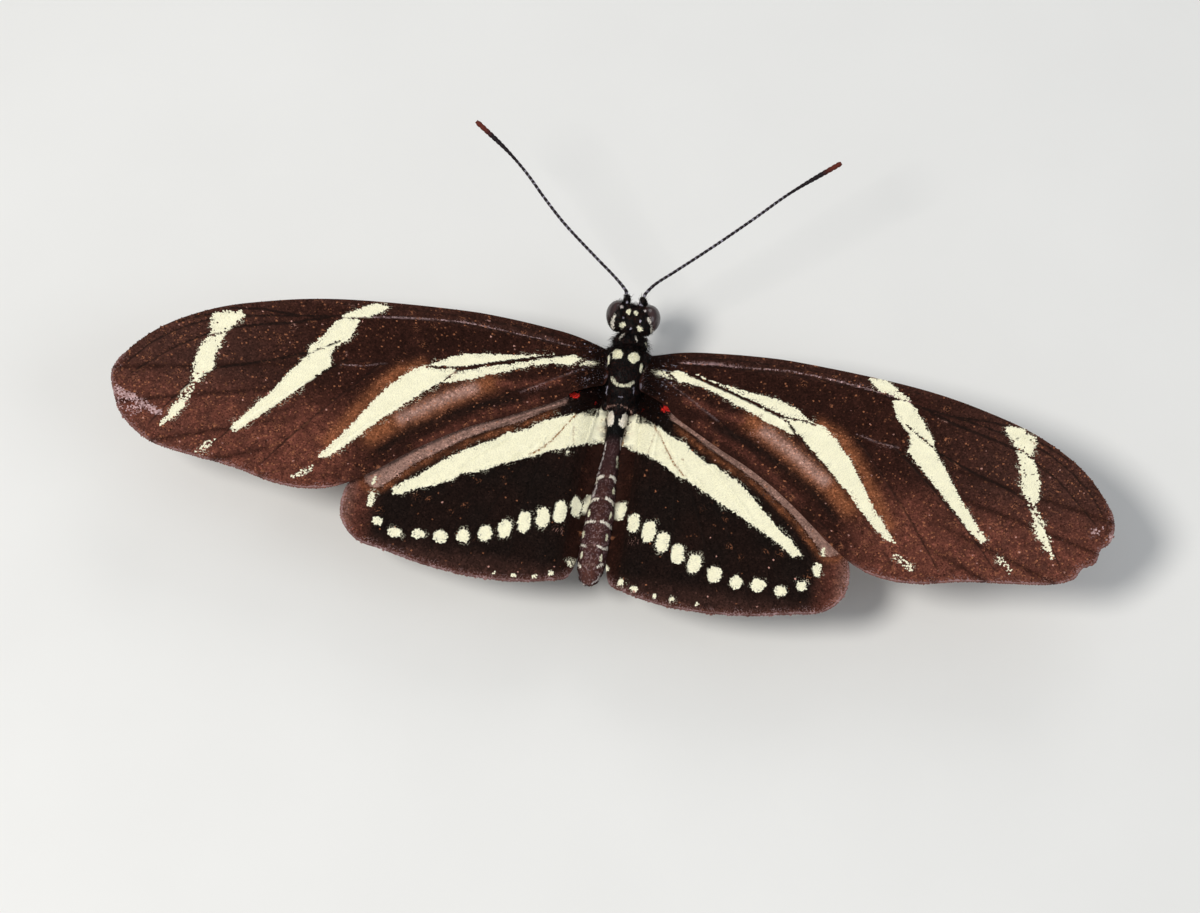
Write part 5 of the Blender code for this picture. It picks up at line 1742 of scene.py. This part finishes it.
class LONGWING_OT_feelers(bpy.types.Operator):
    """Add the two ringed feelers and the coiled tongue"""

    bl_idname = "longwing.feelers"
    bl_label = "Feelers and tongue"

    def execute(self, context):
        material = painted_material("feeler_finish", 12000.0, 0.4, (0.4, 0.6), Specular_IOR_Level=0.12)
        for label in SIDES:
            settle(add_feeler(label), material, (f"antenna_{label}",))
        tongue = painted_material("tongue_finish", 12000.0, 0.4, (0.25, 0.4))
        settle(add_tongue(), tongue, ("proboscis",))
        return {"FINISHED"}


class LONGWING_OT_legs(bpy.types.Operator):
    """Add the four walking legs and the two small folded forelegs"""

    bl_idname = "longwing.legs"
    bl_label = "Legs"

    def execute(self, context):
        material = painted_material("leg_finish", 9000.0, 0.6, (0.35, 0.6))
        for label in SIDES:
            rng = np.random.default_rng(95)
            for part in LEGS:
                nodes = [f"{part}_{label}_{length}" for length in ("femur", "tibia", "tarsus")]
                settle(add_leg(part, label, rng), material, nodes)
            settle(add_foreleg(label), material, (f"foreleg_{label}",))
        return {"FINISHED"}


class LONGWING_OT_wings(bpy.types.Operator):
    """Add the four veined membranes and the scales on both their sides"""

    bl_idname = "longwing.wings"
    bl_label = "Wings"

    def execute(self, context):
        membrane = painted_material("membrane_finish", 6000.0, 0.3, (0.5, 0.7), Specular_IOR_Level=0.03)
        coat = painted_material("wing_scale_finish", 16000.0, 0.2, (0.5, 0.7), Specular_IOR_Level=0.03)
        for label in SIDES:
            for kind in ("forewing", "hindwing"):
                wing = Wing(kind, label)
                settle(add_membrane(wing), membrane, (f"{kind}_{label}",))
                for top in (True, False):
                    settle(add_wing_scales(wing, top), coat)
                settle(add_root_hair(wing), coat)
        return {"FINISHED"}


class LONGWING_PT_panel(bpy.types.Panel):
    """The pieces of the longwing, with their sizes and colours"""

    bl_idname = "LONGWING_PT_panel"
    bl_label = "Zebra longwing"
    bl_space_type = "VIEW_3D"
    bl_region_type = "UI"
    bl_category = "Longwing"

    def draw(self, context):
        layout = self.layout
        for operator in OPERATORS:
            layout.operator(operator.bl_idname)
        for group in (context.scene.longwing_sizes, context.scene.longwing_colours):
            column = layout.column()
            for name in type(group).__annotations__:
                column.prop(group, name)


OPERATORS = (
    LONGWING_OT_stage, LONGWING_OT_body, LONGWING_OT_eyes, LONGWING_OT_feelers, LONGWING_OT_legs,
    LONGWING_OT_wings,
)
CLASSES = (LongwingSizes, LongwingColours, *OPERATORS, LONGWING_PT_panel)


def register():
    for cls in CLASSES:
        bpy.utils.register_class(cls)
    bpy.types.Scene.longwing_sizes = PointerProperty(type=LongwingSizes)
    bpy.types.Scene.longwing_colours = PointerProperty(type=LongwingColours)


def unregister():
    del bpy.types.Scene.longwing_colours
    del bpy.types.Scene.longwing_sizes
    for cls in reversed(CLASSES):
        bpy.utils.unregister_class(cls)


def main():
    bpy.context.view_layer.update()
    register()
    bpy.ops.longwing.stage()
    bpy.ops.longwing.body()
    bpy.ops.longwing.eyes()
    bpy.ops.longwing.feelers()
    bpy.ops.longwing.legs()
    bpy.ops.longwing.wings()


if __name__ == "__main__":
    main()
